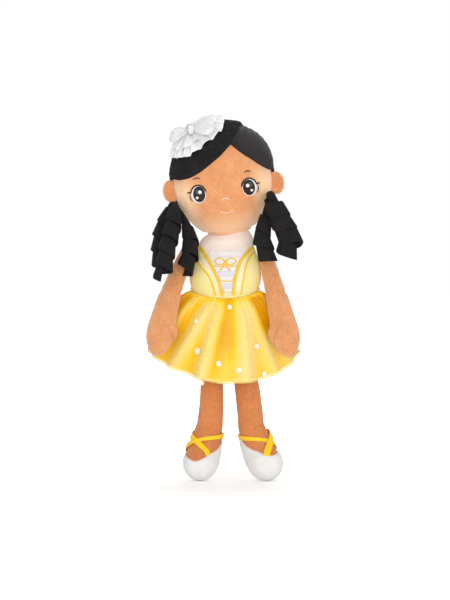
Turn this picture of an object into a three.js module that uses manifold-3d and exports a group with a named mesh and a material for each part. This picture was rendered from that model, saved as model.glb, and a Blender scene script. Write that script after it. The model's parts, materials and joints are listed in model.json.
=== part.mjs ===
// A soft rag doll: tilted head, two bunches of ringlets, bodice, satin skirt and ballet shoes.
// Millimetres, +Z up. X runs to the viewer's right and Y away from the viewer.
// Left and right are the viewer's. An angle round a limb starts at +X and is 90 degrees in front.
import * as THREE from "three";
import { mergeVertices } from "three/addons/utils/BufferGeometryUtils.js";
import Module from "manifold-3d";

const wasm = await Module();
wasm.setup();

// Cloth and clearances
const clearance = 0.5; // between pieces that are sewn or laid together
const coverWall = 1.2; // plush skin of body and limbs
const trimWall = 0.7; // ribbon, braid and embroidery
const layerGap = 0.4; // between one trim and the next one over it
const stuffingGap = 1; // between a skin and its filling

// Legs
const hipHeight = 150; // floor to the hip axis
const hipSpacing = 27; // between the two hip centres
const pelvisShift = 1.5; // hips' middle, to the viewer's right of the waist
const thighRadius = 10.5;
const kneeDrop = 58; // hip axis to knee
const kneeWide = 11.3;
const ankleDrop = 100; // hip axis to ankle
const ankleWide = 13.4;
const footLength = 56; // ankle to toe tip along the foot
const footWide = 15.8;
const footDeep = 13.6;
const footPitch = 38; // degrees from straight down to straight ahead
const footBend = 50; // radius of the ankle's bend
const toeRound = 19;
const instepShare = 0.3; // of the foot's length, where the instep is
const ballShare = 0.52; // of the foot's length, where it is widest
const instepWiden = 0.75; // of the way from ankle to widest that the instep reaches
const splayFollow = 0.9; // share of the splay that the foot's centre line takes
const legSpread = { left: 3.2, right: 6 }; // degrees outwards
const footSplay = { left: 9, right: 15 }; // degrees outwards below the ankle
const toeFlat = 0.5; // depth of the flat under each toe
const legOpening = 2.4; // stuffing hole's edge below the top of the hip ball

// Shoes and their ribbons
const shoeWall = 1.5;
const mouthDrop = 28; // ankle to the shoe's mouth, all round on average
const mouthAhead = 13; // lower over the toes and higher over the heel
const mouthOut = 10; // lower on the outer side and higher on the inner side
const mouthPinch = 6; // higher at both sides than over toes and heel
const shoeGap = 1; // between foot and shoe
const ribbonGap = 0.8; // between ankle and ribbon
const ribbonWide = 4.4;
const bandDrop = 13; // ankle to the ankle ribbon's upper edge
// Crossing ribbon: half-turns outwards from the front of the leg, distance beyond the ankle
const ribbonPath = [[0.5, 12], [0.3, 19], [0.1, 29], [-0.08, 38]];

// Torso
const seatDepth = 23; // torso base to waist seam
const bodiceLength = 61; // waist seam to neck rim
const seatWide = 30;
const waistWide = 32;
const waistDeep = 21.5;
const bellyRise = 23; // waist seam to the belly's widest point
const bellyWide = 36.5;
const bellyDeep = 24;
const chestRise = 42;
const chestWide = 32.2;
const chestDeep = 22;
const shoulderRise = 55;
const shoulderWide = 27;
const shoulderDeep = 18;
const neckRadius = 12; // the neck's post inside the torso
const neckBallRadius = 13.4;
const neckGap = 6; // torso rim to the neck's pivot
const neckDepth = 8; // torso rim down to the post's foot
const neckShift = 2.5; // neck, to the viewer's right of the waist
// Shoulder to neck rim: drop below the rim, shares of the shoulder's width and depth beyond the rim
const rimCurve = [[3.4, 0.83, 0.8], [1.4, 0.5, 0.5]];
const gussetRadius = 10.3;
const gussetWide = 4.5;

// Bodice trims: heights are shares of the bodice, places across are shares of its half-width
const trimWide = 2.5;
const trimNarrow = 1.3;
const panelFoot = 0.09;
const panelTop = 0.72;
const yokeFoot = { up: 0.745, half: 0.55 };
const yokeTop = { up: 0.9, half: 0.78 };
const laceDeep = 6;
const laceFoot = 0.7;
const laceHalf = 0.52;
const laceScallops = 5;
const laceValley = 0.55; // depth between two scallops, as a share of the lace's depth
const bowUp = 0.575;
const bowHalfWide = 10;
const bowHalfTall = 4.2;
const bowTail = [[0, 0], [1.6, -4], [4.4, -7.6]]; // from the knot outwards and down
const bowCord = 1.3;
const bowKnot = 1.8;

// Arms
const armLength = 116;
const shoulderRadius = 7.5;
const shoulderDrop = 18; // neck rim to the shoulder pivot
const elbowWide = 9.3;
const forearmWide = 12.4;
const handWide = 14.2;
const handDeep = 11;
const mittenRound = 22;
const thumbHeight = 1.8;
const armBow = 2; // outward bow at mid arm
const armLean = 18; // degrees forward
const shoulderGap = 0.8; // between torso and shoulder ball
const armOpening = 2.2; // stuffing hole's edge below the top of the shoulder ball
const armSpread = { left: 15.5, right: 13.3 }; // degrees outwards
const armSections = [
  // share of the arm's length, half-width, half-depth
  [0.21, elbowWide - 0.5, elbowWide - 0.9],
  [0.32, elbowWide, elbowWide - 0.4],
  [0.49, 0.45 * elbowWide + 0.55 * forearmWide, elbowWide + 0.4],
  [0.63, forearmWide, elbowWide + 1.2],
  [0.77, handWide, handDeep],
  [0.88, handWide * 0.96, handDeep * 0.95],
  [1, handWide * 0.86, handDeep * 0.86],
];
const thumbPlace = 0.72; // share of the arm's length
const thumbReach = 8; // half of the thumb's length along the arm

// Skirt
const satinWall = 0.8;
const overlayWall = 0.5;
const skirtGap = 1; // between the two layers
const overlayDrop = 4; // overlay's hem below the satin's
const hemHalfWide = 74.6;
const hemFront = 43; // depth of the hem before its middle
const hemSetBack = 5; // hem's middle behind the waist's
const hemShift = -1.8; // hem's middle, to the viewer's right of the waist
const hemLens = 2.2; // how sharply the hem turns at the sides
const hemDrop = 83; // waist seam to the front hem
const hemRise = 33; // side hem above the front hem
const seamRise = 7; // waist seam at the sides above its front
const hemLift = 1.35; // how late round the skirt the hem rises
const flareOut = 0.75; // below 1, the skirt spreads mostly near the waist
const flareDown = 1.25; // above 1, it falls mostly near the hem
const foldGrowth = 0.8; // below 1, folds reach their height soon below the waist
const pipingRadius = 0.9;

// Head
const headWide = 50;
const headDeep = 40;
const headTall = 58;
const headTilt = -8; // degrees about Y, towards the viewer's left
const headSeat = 5.5; // head's lowest point below the neck's pivot
const headShift = 2.2; // head's middle, to the viewer's right of the neck
const headWall = 1.4;
const earHalfWide = 8.5;
const earHalfDeep = 4;
const earHalfTall = 11.5;
const earDish = 2.2;
const earDishReach = 0.75; // share of the ear that is dished
const earHeight = { left: -4, right: -10 }; // above the head's middle
const earOut = 53;
const earAhead = 5; // before the head's middle

// Face
const eyeSpacing = 51;
const eyeHeight = -11.1; // above the head's middle, as are the next three
const browHeight = 5.2;
const noseHeight = -20;
const mouthHeight = -30.5;
const eyeHalfWide = 7.2;
const eyeHalfTall = 8.4;
const irisHalfWide = 5.8;
const irisHalfTall = 7.3;
const irisInward = 0.9;
const lashWide = 1.1;
const flick = [4.2, 3.4]; // lash's tip beyond the eye's outer edge, and above its middle
const browHalf = 3.6;
const browSag = 1.1;
const strokeWide = 0.9; // brow, nose and mouth
const noseHalf = 4;
const noseSag = -1.8;
const mouthHalf = 6.6;
const mouthSag = 2.2;

// Hair
const hairPile = 3.4; // thickness of the plush hair
const hairEdge = 1.4; // its thickness at the hairline
const hairSeat = 0.95; // between skin and hair
const partTop = 29; // degrees from straight up to the parting at the crown, to the right
const partGap = 1.2; // degrees between the two panels at the crown
const crownEnds = { left: -81, right: 86.5 }; // degrees from straight up to the crown line's ends
const satinShare = 0.7; // of the pile's thickness, for the smooth panel
const capSide = 87.5; // degrees from straight back to the cap's edge at the crown line
const napeAngle = 48; // degrees from straight back down to the nape's edge
const tieRadius = 5;
const tieSeat = 0.4; // tie's push into the head's bare outline
const strandGap = 0.8; // between a ringlet's top and the strand that holds it
const strandInside = 6; // the strand's length inside the ringlet
const bandWall = 1.4;
const bandWide = 15; // width of the felt band, measured down the ringlet
const bandPitch = 13.5; // each turn below the last
const bandFlare = 1.6; // each turn's lower edge outside the middle of the band
const bandTop = 0.8; // share of full size at the top

// Hair bow
const tulleRadius = 30;
const tulleWall = 0.8;
const tulleWave = { count: 7, height: 2.2 };
const tulleRoll = { count: 3, height: 1.2 };
const tulleRagged = 0.05; // how much its radius varies, as a share
const tulleDrop = 6; // its rim falls back over the head
const loopLong = 21;
const loopWide = 8.5;
const loopThick = 4.5;
const loopNeck = [2.6, 2.2]; // half-width and half-thickness at the knot
const loopFull = 0.6; // share of its length where a loop is fullest
const knotRadius = 5;
const bowSeat = 2.6; // tulle above the hair at its middle
const bowPlace = [-0.4, 0.77]; // shares of the head's half-width and half-height

const { sin, cos, sqrt, exp, PI, abs, min, max, sign } = Math;
const TAU = 2 * PI;
const rad = THREE.MathUtils.degToRad;
const vec = (x, y, z) => new THREE.Vector3(x, y, z);
const mix = THREE.MathUtils.lerp;
const across = { left: -1, right: 1 };
const sides = ["left", "right"];

// Finishes
const finish = (color, roughness) => new THREE.MeshStandardMaterial({ color, roughness });
const skinPlush = finish(0xdc9669, 0.95);
const skinFace = finish(0xe6aa78, 0.95);
const hairPlush = finish(0x1e1c1d, 1);
const hairSatin = finish(0x322f2e, 0.6);
const ringletFelt = finish(0x26241f, 0.95);
const skirtSatin = finish(0xfdd63c, 0.4);
const skirtSheer = finish(0xfff0b0, 0.5);
const ribbonSatin = finish(0xffcd14, 0.35);
const bodiceCloth = finish(0xfae496, 0.8);
const yokeCloth = finish(0xf8dcd3, 0.8);
const whiteSatin = finish(0xf3eff2, 0.5);
const threadYellow = finish(0xf2c021, 0.5);
const threadDark = finish(0x2b1a14, 0.6);
const threadWhite = finish(0xffffff, 0.6);
const threadPeach = finish(0xedbf94, 0.7);
const shoeSatin = finish(0xe1dedc, 0.35);
const bowTulle = finish(0xf4f5f7, 0.5);
const stuffingFibre = finish(0xf2f2ee, 1);

// Mesh helpers

/** A closed geometry from vertices and triangles, turned so that its faces point out. */
function closed(vertices, faces) {
  let volume = 0;
  for (const [a, b, c] of faces)
    volume += vertices[a].dot(vertices[b].clone().cross(vertices[c]));
  const flat = vertices.flatMap((p) => [p.x, p.y, p.z]);
  const index = faces.flatMap(([a, b, c]) => (volume < 0 ? [a, c, b] : [a, b, c]));
  const geometry = new THREE.BufferGeometry();
  geometry.setAttribute("position", new THREE.Float32BufferAttribute(flat, 3));
  geometry.setIndex(index);
  geometry.computeVertexNormals();
  return geometry;
}

/** Two triangles for each cell between ring a and ring b, rings of `count` points. */
function wall(a, b, count) {
  return Array.from({ length: count }, (_, i) => {
    const j = (i + 1) % count;
    return [
      [a + i, b + i, b + j],
      [a + i, b + j, a + j],
    ];
  }).flat();
}

const middleOf = (ring) => ring.reduce((s, p) => s.add(p), vec(0, 0, 0)).divideScalar(ring.length);

/** A solid carried through rings of points, each end drawn to a pole. */
function loft(rings, startPole = middleOf(rings[0]), endPole = middleOf(rings.at(-1))) {
  const count = rings[0].length;
  const last = 1 + (rings.length - 1) * count;
  const vertices = [startPole, ...rings.flat(), endPole];
  const faces = [];
  for (let i = 0; i < count; i++) {
    faces.push([0, 1 + i, 1 + ((i + 1) % count)]);
    faces.push([vertices.length - 1, last + ((i + 1) % count), last + i]);
  }
  for (let r = 0; r + 1 < rings.length; r++)
    faces.push(...wall(1 + r * count, 1 + (r + 1) * count, count));
  return closed(vertices, faces);
}

/** A solid whose last ring joins its first: a hoop, or a thin wall open at both ends. */
function hoop(rings) {
  const count = rings[0].length;
  const faces = rings.flatMap((_, r) => wall(r * count, ((r + 1) % rings.length) * count, count));
  return closed(rings.flat(), faces);
}

/** Points round a turn: `at` takes a share from 0 to 1. */
const ringOf = (count, at) => Array.from({ length: count }, (_, i) => at(i / count));

/** Evenly spaced shares from 0 to 1, both ends included. */
const shares = (steps) => Array.from({ length: steps + 1 }, (_, i) => i / steps);

/** A thick patch: `at` takes shares p, q and a depth between 0, inside, and 1, outside. */
function patch(at, pSteps, qSteps) {
  const rings = shares(pSteps).map((p) => [
    ...shares(qSteps).map((q) => at(p, q, 1)),
    ...shares(qSteps).reverse().map((q) => at(p, q, 0)),
  ]);
  const size = rings[0].length;
  const faces = [];
  for (let r = 0; r + 1 < rings.length; r++) faces.push(...wall(r * size, (r + 1) * size, size));
  const last = (rings.length - 1) * size;
  for (let q = 0; q < qSteps; q++) {
    const [a, b, c, d] = [q, q + 1, size - 2 - q, size - 1 - q];
    faces.push([a, b, c], [a, c, d]);
    faces.push([last + a, last + c, last + b], [last + a, last + d, last + c]);
  }
  return closed(rings.flat(), faces);
}

/** A flat strip laid on a surface along a path of [s, t] places; `at` takes s, t and a height. */
function strip(at, path, width, low, high, steps) {
  const curve = new THREE.CatmullRomCurve3(path.map(([s, t]) => vec(s, t, 0)));
  const edge = (share, way) => {
    const along = curve.getTangent(share);
    const place = curve.getPoint(share);
    return [place.x - (way * along.y * width) / 2, place.y + (way * along.x * width) / 2];
  };
  const rings = shares(steps).map((share) => [
    at(...edge(share, -1), low),
    at(...edge(share, 1), low),
    at(...edge(share, 1), high),
    at(...edge(share, -1), high),
  ]);
  return loft(rings);
}

/** An embroidered disc on a surface. */
function disc(at, [s, t], halfWide, halfTall, low, high, count = 14) {
  const ring = (height, grow) =>
    ringOf(count, (k) =>
      at(s + grow * halfWide * cos(TAU * k), t + grow * halfTall * sin(TAU * k), height),
    );
  const rings = [ring(low, 0.5), ring(low, 1), ring(high, 1), ring(high, 0.5)];
  return loft(rings, at(s, t, low), at(s, t, high));
}

/** The merged solid of a geometry, for a join or a cut. */
function solidOf(geometry) {
  const bare = geometry.clone();
  bare.deleteAttribute("normal");
  const merged = mergeVertices(bare, 1e-4);
  return new wasm.Manifold(
    new wasm.Mesh({
      numProp: 3,
      vertProperties: merged.attributes.position.array,
      triVerts: new Uint32Array(merged.index.array),
    }),
  );
}

/** A joined or cut solid as a geometry. */
function geometryOf(solid) {
  const mesh = solid.getMesh();
  const geometry = new THREE.BufferGeometry();
  geometry.setAttribute("position", new THREE.BufferAttribute(mesh.vertProperties, 3));
  geometry.setIndex(new THREE.BufferAttribute(mesh.triVerts, 1));
  geometry.computeVertexNormals();
  return geometry;
}

const cutBy = (geometry, tool) => geometryOf(solidOf(geometry).subtract(solidOf(tool)));
const joined = (...parts) => geometryOf(parts.map(solidOf).reduce((a, b) => a.add(b)));

/** A named mesh. */
function piece(name, geometry, material) {
  const mesh = new THREE.Mesh(geometry, material);
  mesh.name = name;
  return mesh;
}

/** A named group at a place. */
function joint(name, place, ...children) {
  const group = new THREE.Group();
  group.name = name;
  group.position.copy(place);
  group.add(...children);
  return group;
}

/** Value at d of one column of stations, on a smooth curve through them. */
function smooth(stations, d, column) {
  const last = stations.length - 1;
  if (d <= stations[0][0]) return stations[0][column];
  if (d >= stations[last][0]) return stations[last][column];
  const i = stations.findIndex((s, k) => k < last && d < stations[k + 1][0]);
  const slope = (k) => {
    const a = stations[max(k - 1, 0)];
    const b = stations[min(k + 1, last)];
    return (b[column] - a[column]) / (b[0] - a[0]);
  };
  const span = stations[i + 1][0] - stations[i][0];
  const u = (d - stations[i][0]) / span;
  const [p, q] = [stations[i][column], stations[i + 1][column]];
  const [m, n] = [slope(i) * span, slope(i + 1) * span];
  return (
    (2 * u ** 3 - 3 * u ** 2 + 1) * p +
    (u ** 3 - 2 * u ** 2 + u) * m +
    (3 * u ** 2 - 2 * u ** 3) * q +
    (u ** 3 - u ** 2) * n
  );
}

/** A stuffed form: elliptical sections of [distance, half-width, half-depth] along a spine. */
class Form {
  constructor({ stations, startRound, endRound, spine, upright, bump = () => 0, grow = 0 }) {
    Object.assign(this, { stations, startRound, endRound, spine, upright, bump, grow });
    this.start = stations[0][0] - grow;
    this.end = stations.at(-1)[0] + grow;
  }

  /** The same form with its surface moved out. */
  grown(by) {
    return new Form({ ...this, grow: this.grow + by });
  }

  /** Share of full size near a rounded end. */
  rounding(d) {
    const ends = [
      [d - this.start, this.startRound + this.grow],
      [this.end - d, this.endRound + this.grow],
    ];
    return ends.reduce(
      (share, [inset, round]) =>
        inset < round ? share * sqrt(max(0, 1 - (1 - inset / round) ** 2)) : share,
      1,
    );
  }

  wide(d) {
    return (smooth(this.stations, d, 1) + this.grow) * this.rounding(d);
  }

  deep(d) {
    return (smooth(this.stations, d, 2) + this.grow) * this.rounding(d);
  }

  /** Centre, side and front directions of the section at d. */
  frame(d) {
    const step = 0.5;
    const along = this.upright
      ? vec(0, 0, 1)
      : this.spine(d + step).sub(this.spine(d - step)).normalize();
    const side = vec(1, 0, 0).addScaledVector(along, -along.x).normalize();
    const front = side.clone().cross(along);
    if (front.y > 0) front.negate();
    return { centre: this.spine(d), side, front };
  }

  point(d, angle) {
    const { centre, side, front } = this.frame(d);
    const swell = 1 + this.bump(d, angle);
    return centre
      .addScaledVector(side, this.wide(d) * swell * cos(angle))
      .addScaledVector(front, this.deep(d) * swell * sin(angle));
  }

  ring(d, count) {
    return ringOf(count, (k) => this.point(d, TAU * k));
  }

  /** Ring distances: steps over each rounded end, and the levels given between them. */
  distances(startSteps, levels, endSteps) {
    const [a, b] = [this.startRound + this.grow, this.endRound + this.grow];
    const [from, to] = [this.start + a, this.end - b];
    const starts = shares(startSteps).slice(1).map((k) => from - a * cos((PI / 2) * k));
    const ends = shares(endSteps).slice(0, -1).map((k) => to + b * sin((PI / 2) * k));
    const between = levels.filter((d) => d > from + 1 && d < to - 1);
    return [...starts, ...between, ...ends].filter((d, i, list) => i === 0 || d > list[i - 1] + 0.01);
  }

  solid(count, ...steps) {
    const rings = this.distances(...steps).map((d) => this.ring(d, count));
    return loft(rings, this.spine(this.start), this.spine(this.end));
  }

  /** A skin of this form, open at its start down to distance `mouth(angle)`. */
  skin(thickness, mouth, count, ...steps) {
    const inner = this.grown(-thickness);
    const level = (mouth(0) + mouth(PI / 2) + mouth(PI) + mouth(-PI / 2)) / 4;
    const rings = (form) =>
      [level, ...form.distances(...steps).filter((d) => d > level + 0.5)].map((d) => {
        const share = (d - level) / (form.end - level);
        const at = (angle) => form.point(mix(mouth(angle), form.end, share), angle);
        return ringOf(count, (k) => at(TAU * k));
      });
    const outside = rings(this).reverse();
    return loft([...outside, ...rings(inner)], this.spine(this.end), inner.spine(inner.end));
  }

  /** Place on the front at distance d and share s of the half-width, raised along the normal. */
  front(d, s, height) {
    const angle = Math.acos(max(-1, min(1, s)));
    const step = 0.01;
    const alongForm = this.point(d + 1, angle).sub(this.point(d - 1, angle));
    const roundForm = this.point(d, angle + step).sub(this.point(d, angle - step));
    const normal = alongForm.cross(roundForm).normalize();
    if (normal.y > 0) normal.negate();
    return this.point(d, angle).addScaledVector(normal, height);
  }
}

// Legs: distance runs from the top of the hip ball down to the toe tip

/** Centre line of a leg: straight to the ankle, then bent forwards and splayed outwards. */
function legSpine(side, length) {
  const ankle = length - footLength;
  return (d) => {
    if (d <= ankle) return vec(0, 0, thighRadius - d);
    const beyond = d - ankle;
    const turn = min(beyond / footBend, rad(footPitch));
    const rest = beyond - turn * footBend;
    const ahead = footBend * (1 - cos(turn)) + rest * sin(turn);
    const down = footBend * sin(turn) + rest * cos(turn);
    const out = across[side] * Math.tan(rad(footSplay[side])) * beyond * splayFollow;
    return vec(out, -ahead, thighRadius - ankle - down);
  };
}

function legForm(side, length) {
  const ankle = length - footLength;
  const stations = [
    [0, thighRadius, thighRadius],
    [thighRadius, thighRadius, thighRadius],
    [thighRadius + (kneeDrop * (ankle - thighRadius)) / ankleDrop, kneeWide, kneeWide],
    [ankle, ankleWide, ankleWide],
    [ankle + footLength * instepShare, mix(ankleWide, footWide, instepWiden), footDeep],
    [ankle + footLength * ballShare, footWide, footDeep],
    [length, footWide, footDeep],
  ];
  const spine = legSpine(side, length);
  return new Form({ stations, startRound: thighRadius, endRound: toeRound, spine });
}

/** Distance of the shoe's mouth at an angle. */
const shoeMouth = (side, length) => (angle) =>
  length -
  footLength +
  mouthDrop +
  mouthAhead * sin(angle) +
  mouthOut * across[side] * cos(angle) -
  mouthPinch * cos(2 * angle);

/** Heights of the leg's rings, closer together where the foot bends. */
function legLevels(length) {
  const ankle = length - footLength;
  const knee = thighRadius + kneeDrop;
  const bends = [-0.25, -0.07, 0.09, 0.23, 0.38, 0.52].map((k) => ankle + k * footLength);
  return [mix(thighRadius, knee, 0.5), knee, ...bends];
}

const shoeForm = (side, length) => legForm(side, length).grown(shoeGap + shoeWall);

const legTurn = (side) => new THREE.Euler(0, -across[side] * rad(legSpread[side]), 0);

/** The leg length at which the shoe's toe reaches just below the floor, for its flat. */
function fittedLength(side) {
  const nominal = thighRadius + ankleDrop + footLength;
  const form = shoeForm(side, nominal);
  const turn = legTurn(side);
  const heights = form
    .distances(4, legLevels(nominal), 24)
    .flatMap((d) => form.ring(d, 48).map((p) => p.applyEuler(turn).z));
  const lowest = hipHeight + min(...heights);
  return nominal + (lowest + toeFlat) / cos(rad(legSpread[side]));
}

/** A slab below the floor, in the leg's own frame, that flattens the toe. */
function floorSlab(side) {
  const reach = hipHeight;
  const slab = new THREE.BoxGeometry(2 * reach, 2 * reach, reach);
  slab.deleteAttribute("uv");
  slab.translate(0, 0, -hipHeight - reach / 2);
  const back = new THREE.Matrix4().makeRotationFromEuler(legTurn(side)).invert();
  return slab.applyMatrix4(back);
}

function leg(side) {
  const length = fittedLength(side);
  const form = legForm(side, length);
  const ankle = length - footLength;
  const filling = form.grown(-coverWall - stuffingGap);
  const levels = legLevels(length);
  const shoe = shoeForm(side, length).skin(shoeWall, shoeMouth(side, length), 16, 0, levels, 5);
  const bandForm = form.grown(ribbonGap);
  const bandTop = (angle) => ankle + bandDrop + mouthOut * across[side] * cos(angle);
  const band = (grow, shift) =>
    ringOf(18, (k) => bandForm.grown(grow).point(bandTop(TAU * k) + shift, TAU * k));
  const ankleRibbon = hoop([
    band(0, 0),
    band(0, ribbonWide),
    band(trimWall, ribbonWide),
    band(trimWall, 0),
  ]);
  const round = form.deep(ankle);
  const outward = (share) => (PI / 2 - across[side] * share * PI) * round;
  const onFoot = (turn, d, height) => form.grown(height).point(d, turn / round);
  const crossing = ribbonPath.map(([share, beyond]) => [outward(share), ankle + beyond]);
  const over = ribbonGap + trimWall + clearance;
  const crossRibbon = strip(onFoot, crossing, ribbonWide, over, over + trimWall, 9);
  const group = joint(
    `${side}_hip`,
    vec(pelvisShift + (across[side] * hipSpacing) / 2, 0, hipHeight),
    piece(`leg_cover_${side}`, form.skin(coverWall, () => legOpening, 14, 3, levels, 5), skinPlush),
    piece(`leg_stuffing_${side}`, filling.solid(10, 3, levels, 4), stuffingFibre),
    piece(`shoe_${side}`, cutBy(shoe, floorSlab(side)), shoeSatin),
    piece(`ribbon_ankle_${side}`, ankleRibbon, ribbonSatin),
    piece(`ribbon_cross_${side}`, crossRibbon, ribbonSatin),
  );
  group.rotation.copy(legTurn(side));
  return group;
}

// Torso: distance runs from its base up to the neck rim
const torsoBase = hipHeight + thighRadius + clearance;
const neckRim = seatDepth + bodiceLength;
const rimRadius = neckRadius + clearance + coverWall;
const torsoForm = new Form({
  stations: [
    [0, seatWide, waistDeep],
    [seatDepth * 0.3, seatWide, waistDeep],
    [seatDepth, waistWide, waistDeep],
    [seatDepth + bellyRise, bellyWide, bellyDeep],
    [seatDepth + chestRise, chestWide, chestDeep],
    [seatDepth + shoulderRise, shoulderWide, shoulderDeep],
    ...rimCurve.map(([drop, wide, deep]) => [
      neckRim - drop,
      mix(rimRadius, shoulderWide, wide),
      mix(rimRadius, shoulderDeep, deep),
    ]),
    [neckRim, rimRadius, rimRadius],
  ],
  startRound: seatDepth * 0.35,
  endRound: 0,
  upright: true,
  spine: (d) => {
    const rise = max(0, (d - seatDepth - bellyRise) / (bodiceLength - bellyRise));
    return vec(neckShift * rise ** 3, 0, d);
  },
});

/** The torso's skin: closed at its base and open at the neck rim. */
function torsoCover() {
  const shoulder = seatDepth + shoulderRise;
  const slope = [0, 0.35, 0.55, 0.77, 1].map((share) => mix(shoulder, neckRim, share));
  const levels = [0.25, 0.4, 0.55, 0.7, 0.86].map((share) => share * shoulder);
  const rows = [...torsoForm.distances(3, levels, 1).slice(0, -1), ...slope];
  const inner = torsoForm.grown(-coverWall);
  const outside = rows.map((d) => torsoForm.ring(d, 24));
  const inside = rows.map((d) => inner.ring(max(d, inner.start + 0.4), 24)).reverse();
  return loft([...outside, ...inside], torsoForm.spine(0), inner.spine(inner.start));
}

/** Place on the bodice: share of its half-width, share of its height above the waist. */
const onBodice = (wide, up, height) =>
  torsoForm.front(seatDepth + up * bodiceLength, wide, height);

// Trims from top to bottom: share of the half-width, share of the height
const trims = {
  wide: {
    width: trimWide,
    left: [[-0.93, 0.86], [-0.67, 0.74], [-0.44, 0.59], [-0.2, 0.32], [-0.09, 0.1]],
    right: [[0.93, 0.86], [0.66, 0.75], [0.43, 0.6], [0.27, 0.32], [0.25, 0.1]],
  },
  narrow: {
    width: trimNarrow,
    left: [[-0.93, 0.7], [-0.66, 0.52], [-0.42, 0.35], [-0.29, 0.11]],
    right: [[0.93, 0.78], [0.68, 0.64], [0.52, 0.42], [0.46, 0.12]],
  },
};

/** A line of braid on the bodice. */
function trim(kind, side) {
  const path = trims[kind][side].map(([wide, up]) => [wide * waistWide, up * bodiceLength]);
  const at = (s, t, height) => onBodice(s / waistWide, t / bodiceLength, height);
  const shape = strip(at, path, trims[kind].width, clearance, clearance + trimWall, 8);
  return piece(`trim_${kind}_${side}`, shape, threadYellow);
}

/** Share across of a trim at a height share, between its listed places. */
function trimAt(path, up) {
  const upwards = [...path].reverse().map(([wide, height]) => [height, wide]);
  return smooth(upwards, up, 1);
}

/** The white panel between the wide trims. */
function stomacher() {
  const inset = (trimWide / 2 + clearance + layerGap / 2) / waistWide;
  return patch(
    (p, q, depth) => {
      const up = mix(panelFoot, panelTop, p);
      const from = trimAt(trims.wide.left, up) + inset;
      const to = trimAt(trims.wide.right, up) - inset;
      return onBodice(mix(from, to, q), up, clearance + depth * trimWall);
    },
    7,
    5,
  );
}

/** The pink panel from the lace up to the neck, between the tops of the trims. */
function chestYoke() {
  return patch(
    (p, q, depth) => {
      const up = mix(yokeFoot.up, yokeTop.up, p);
      const half = mix(yokeFoot.half, yokeTop.half, p);
      return onBodice(mix(-half, half, q), up, clearance + depth * trimWall);
    },
    4,
    8,
  );
}

/** Scalloped lace over the seam of yoke and panel. */
function laceEdge() {
  const low = clearance + trimWall + layerGap;
  return patch(
    (p, q, depth) => {
      const deep = laceDeep * mix(laceValley, 1, abs(sin(PI * laceScallops * p)));
      const up = laceFoot + (deep * q) / bodiceLength;
      return onBodice(mix(-laceHalf, laceHalf, p), up, low + depth * trimWall);
    },
    20,
    1,
  );
}

/** The embroidered bow: two loops, two tails and a knot, joined. */
function bodiceBow() {
  const low = clearance + trimWall + layerGap;
  const high = low + trimWall;
  const at = (s, t, height) => onBodice(s / waistWide, bowUp + t / bodiceLength, height);
  const loop = (way) =>
    disc(at, [(way * bowHalfWide) / 2, 0], bowHalfWide / 2, bowHalfTall, low, high, 10);
  const tail = (way) => strip(at, bowTail.map(([s, t]) => [way * s, t]), bowCord, low, high, 4);
  const knot = disc(at, [0, 0], bowKnot, bowKnot, low, high, 8);
  return joined(knot, loop(-1), loop(1), tail(-1), tail(1));
}

// Skirt

const seamAt = (turn) => seatDepth + seamRise * sin(TAU * turn) ** 2;

/** Folds: degrees round from the front at the waist and at the hem, height, half-width. */
const folds = [
  [-44, -58, 2.25, 6],
  [-22, -36, 2.88, 7],
  [-9, -15.6, 3.78, 5.8],
  [10, 10.4, 3.6, 7],
  [22, 33, 3.06, 6],
  [52, 55, 2.25, 6],
  [105, 102, 3.6, 8],
  [130, 126, 4.05, 8],
  [153, 150, 4.05, 8],
  [176, 174, 4.05, 8],
  [200, 198, 4.05, 8],
  [226, 224, 4.05, 8],
  [252, 254, 3.6, 8],
];

function foldAt(turn, share) {
  return folds.reduce((sum, [waist, hem, height, half]) => {
    const away = ((360 * turn - mix(waist, hem, share) + 540) % 360) - 180;
    return sum + height * exp(-((away / half) ** 2));
  }, 0);
}

/** Bare place on the skirt: turn from the front towards +X, share of the way down. */
function skirtPlace(turn, share) {
  const angle = TAU * turn;
  const seam = torsoForm.grown(clearance);
  const top = seam.point(seamAt(turn), PI / 2 - angle);
  const back = cos(angle) < 0;
  const fromFront = abs(((turn + 0.5) % 1) - 0.5) * 4;
  const rise = hemRise * min(fromFront, 2 - fromFront) ** hemLift;
  const depth = (back ? hemFront - 2 * hemSetBack : hemFront) * abs(cos(angle)) ** hemLens;
  const y = hemSetBack - sign(cos(angle)) * depth;
  const hem = vec(hemShift + hemHalfWide * sin(angle), y, seatDepth - hemDrop + rise);
  const [sideways, down] = [share ** flareOut, share ** flareDown];
  const place = vec(
    mix(top.x, hem.x, sideways),
    mix(top.y, hem.y, sideways),
    mix(top.z, hem.z, down),
  );
  const outward = vec(sin(angle), -cos(angle), 0);
  return place.addScaledVector(outward, foldAt(turn, share) * share ** foldGrowth);
}

/** Place on the skirt raised along its normal. */
function onSkirt(turn, share, height) {
  const [dTurn, dShare] = [0.004, 0.01];
  const round = skirtPlace(turn + dTurn, share).sub(skirtPlace(turn - dTurn, share));
  const low = max(share, dShare);
  const down = skirtPlace(turn, low + dShare).sub(skirtPlace(turn, low - dShare));
  const normal = down.cross(round).normalize();
  const away = vec(sin(TAU * turn), -cos(TAU * turn), 0);
  if (normal.dot(away) < 0) normal.negate();
  return skirtPlace(turn, share).addScaledVector(normal, height);
}

/** Height of the sheer layer's inside at a share of the way down: it stands off more at the hem. */
const overlayAt = (share) => satinWall + skirtGap * (1 + share);
const overlayOver = (share) => overlayAt(share) + overlayWall;

/** A layer of the skirt between two heights at its hem, over the bare shape, with its hem let down. */
function skirtLayer(low, high, drop) {
  const rows = shares(6);
  if (drop) rows.push(1 + drop / hemDrop);
  const row = (height) => (share) => ringOf(48, (turn) => onSkirt(turn, share, height(share)));
  return hoop([...rows.map(row(high)), ...[...rows].reverse().map(row(low))]);
}

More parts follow.
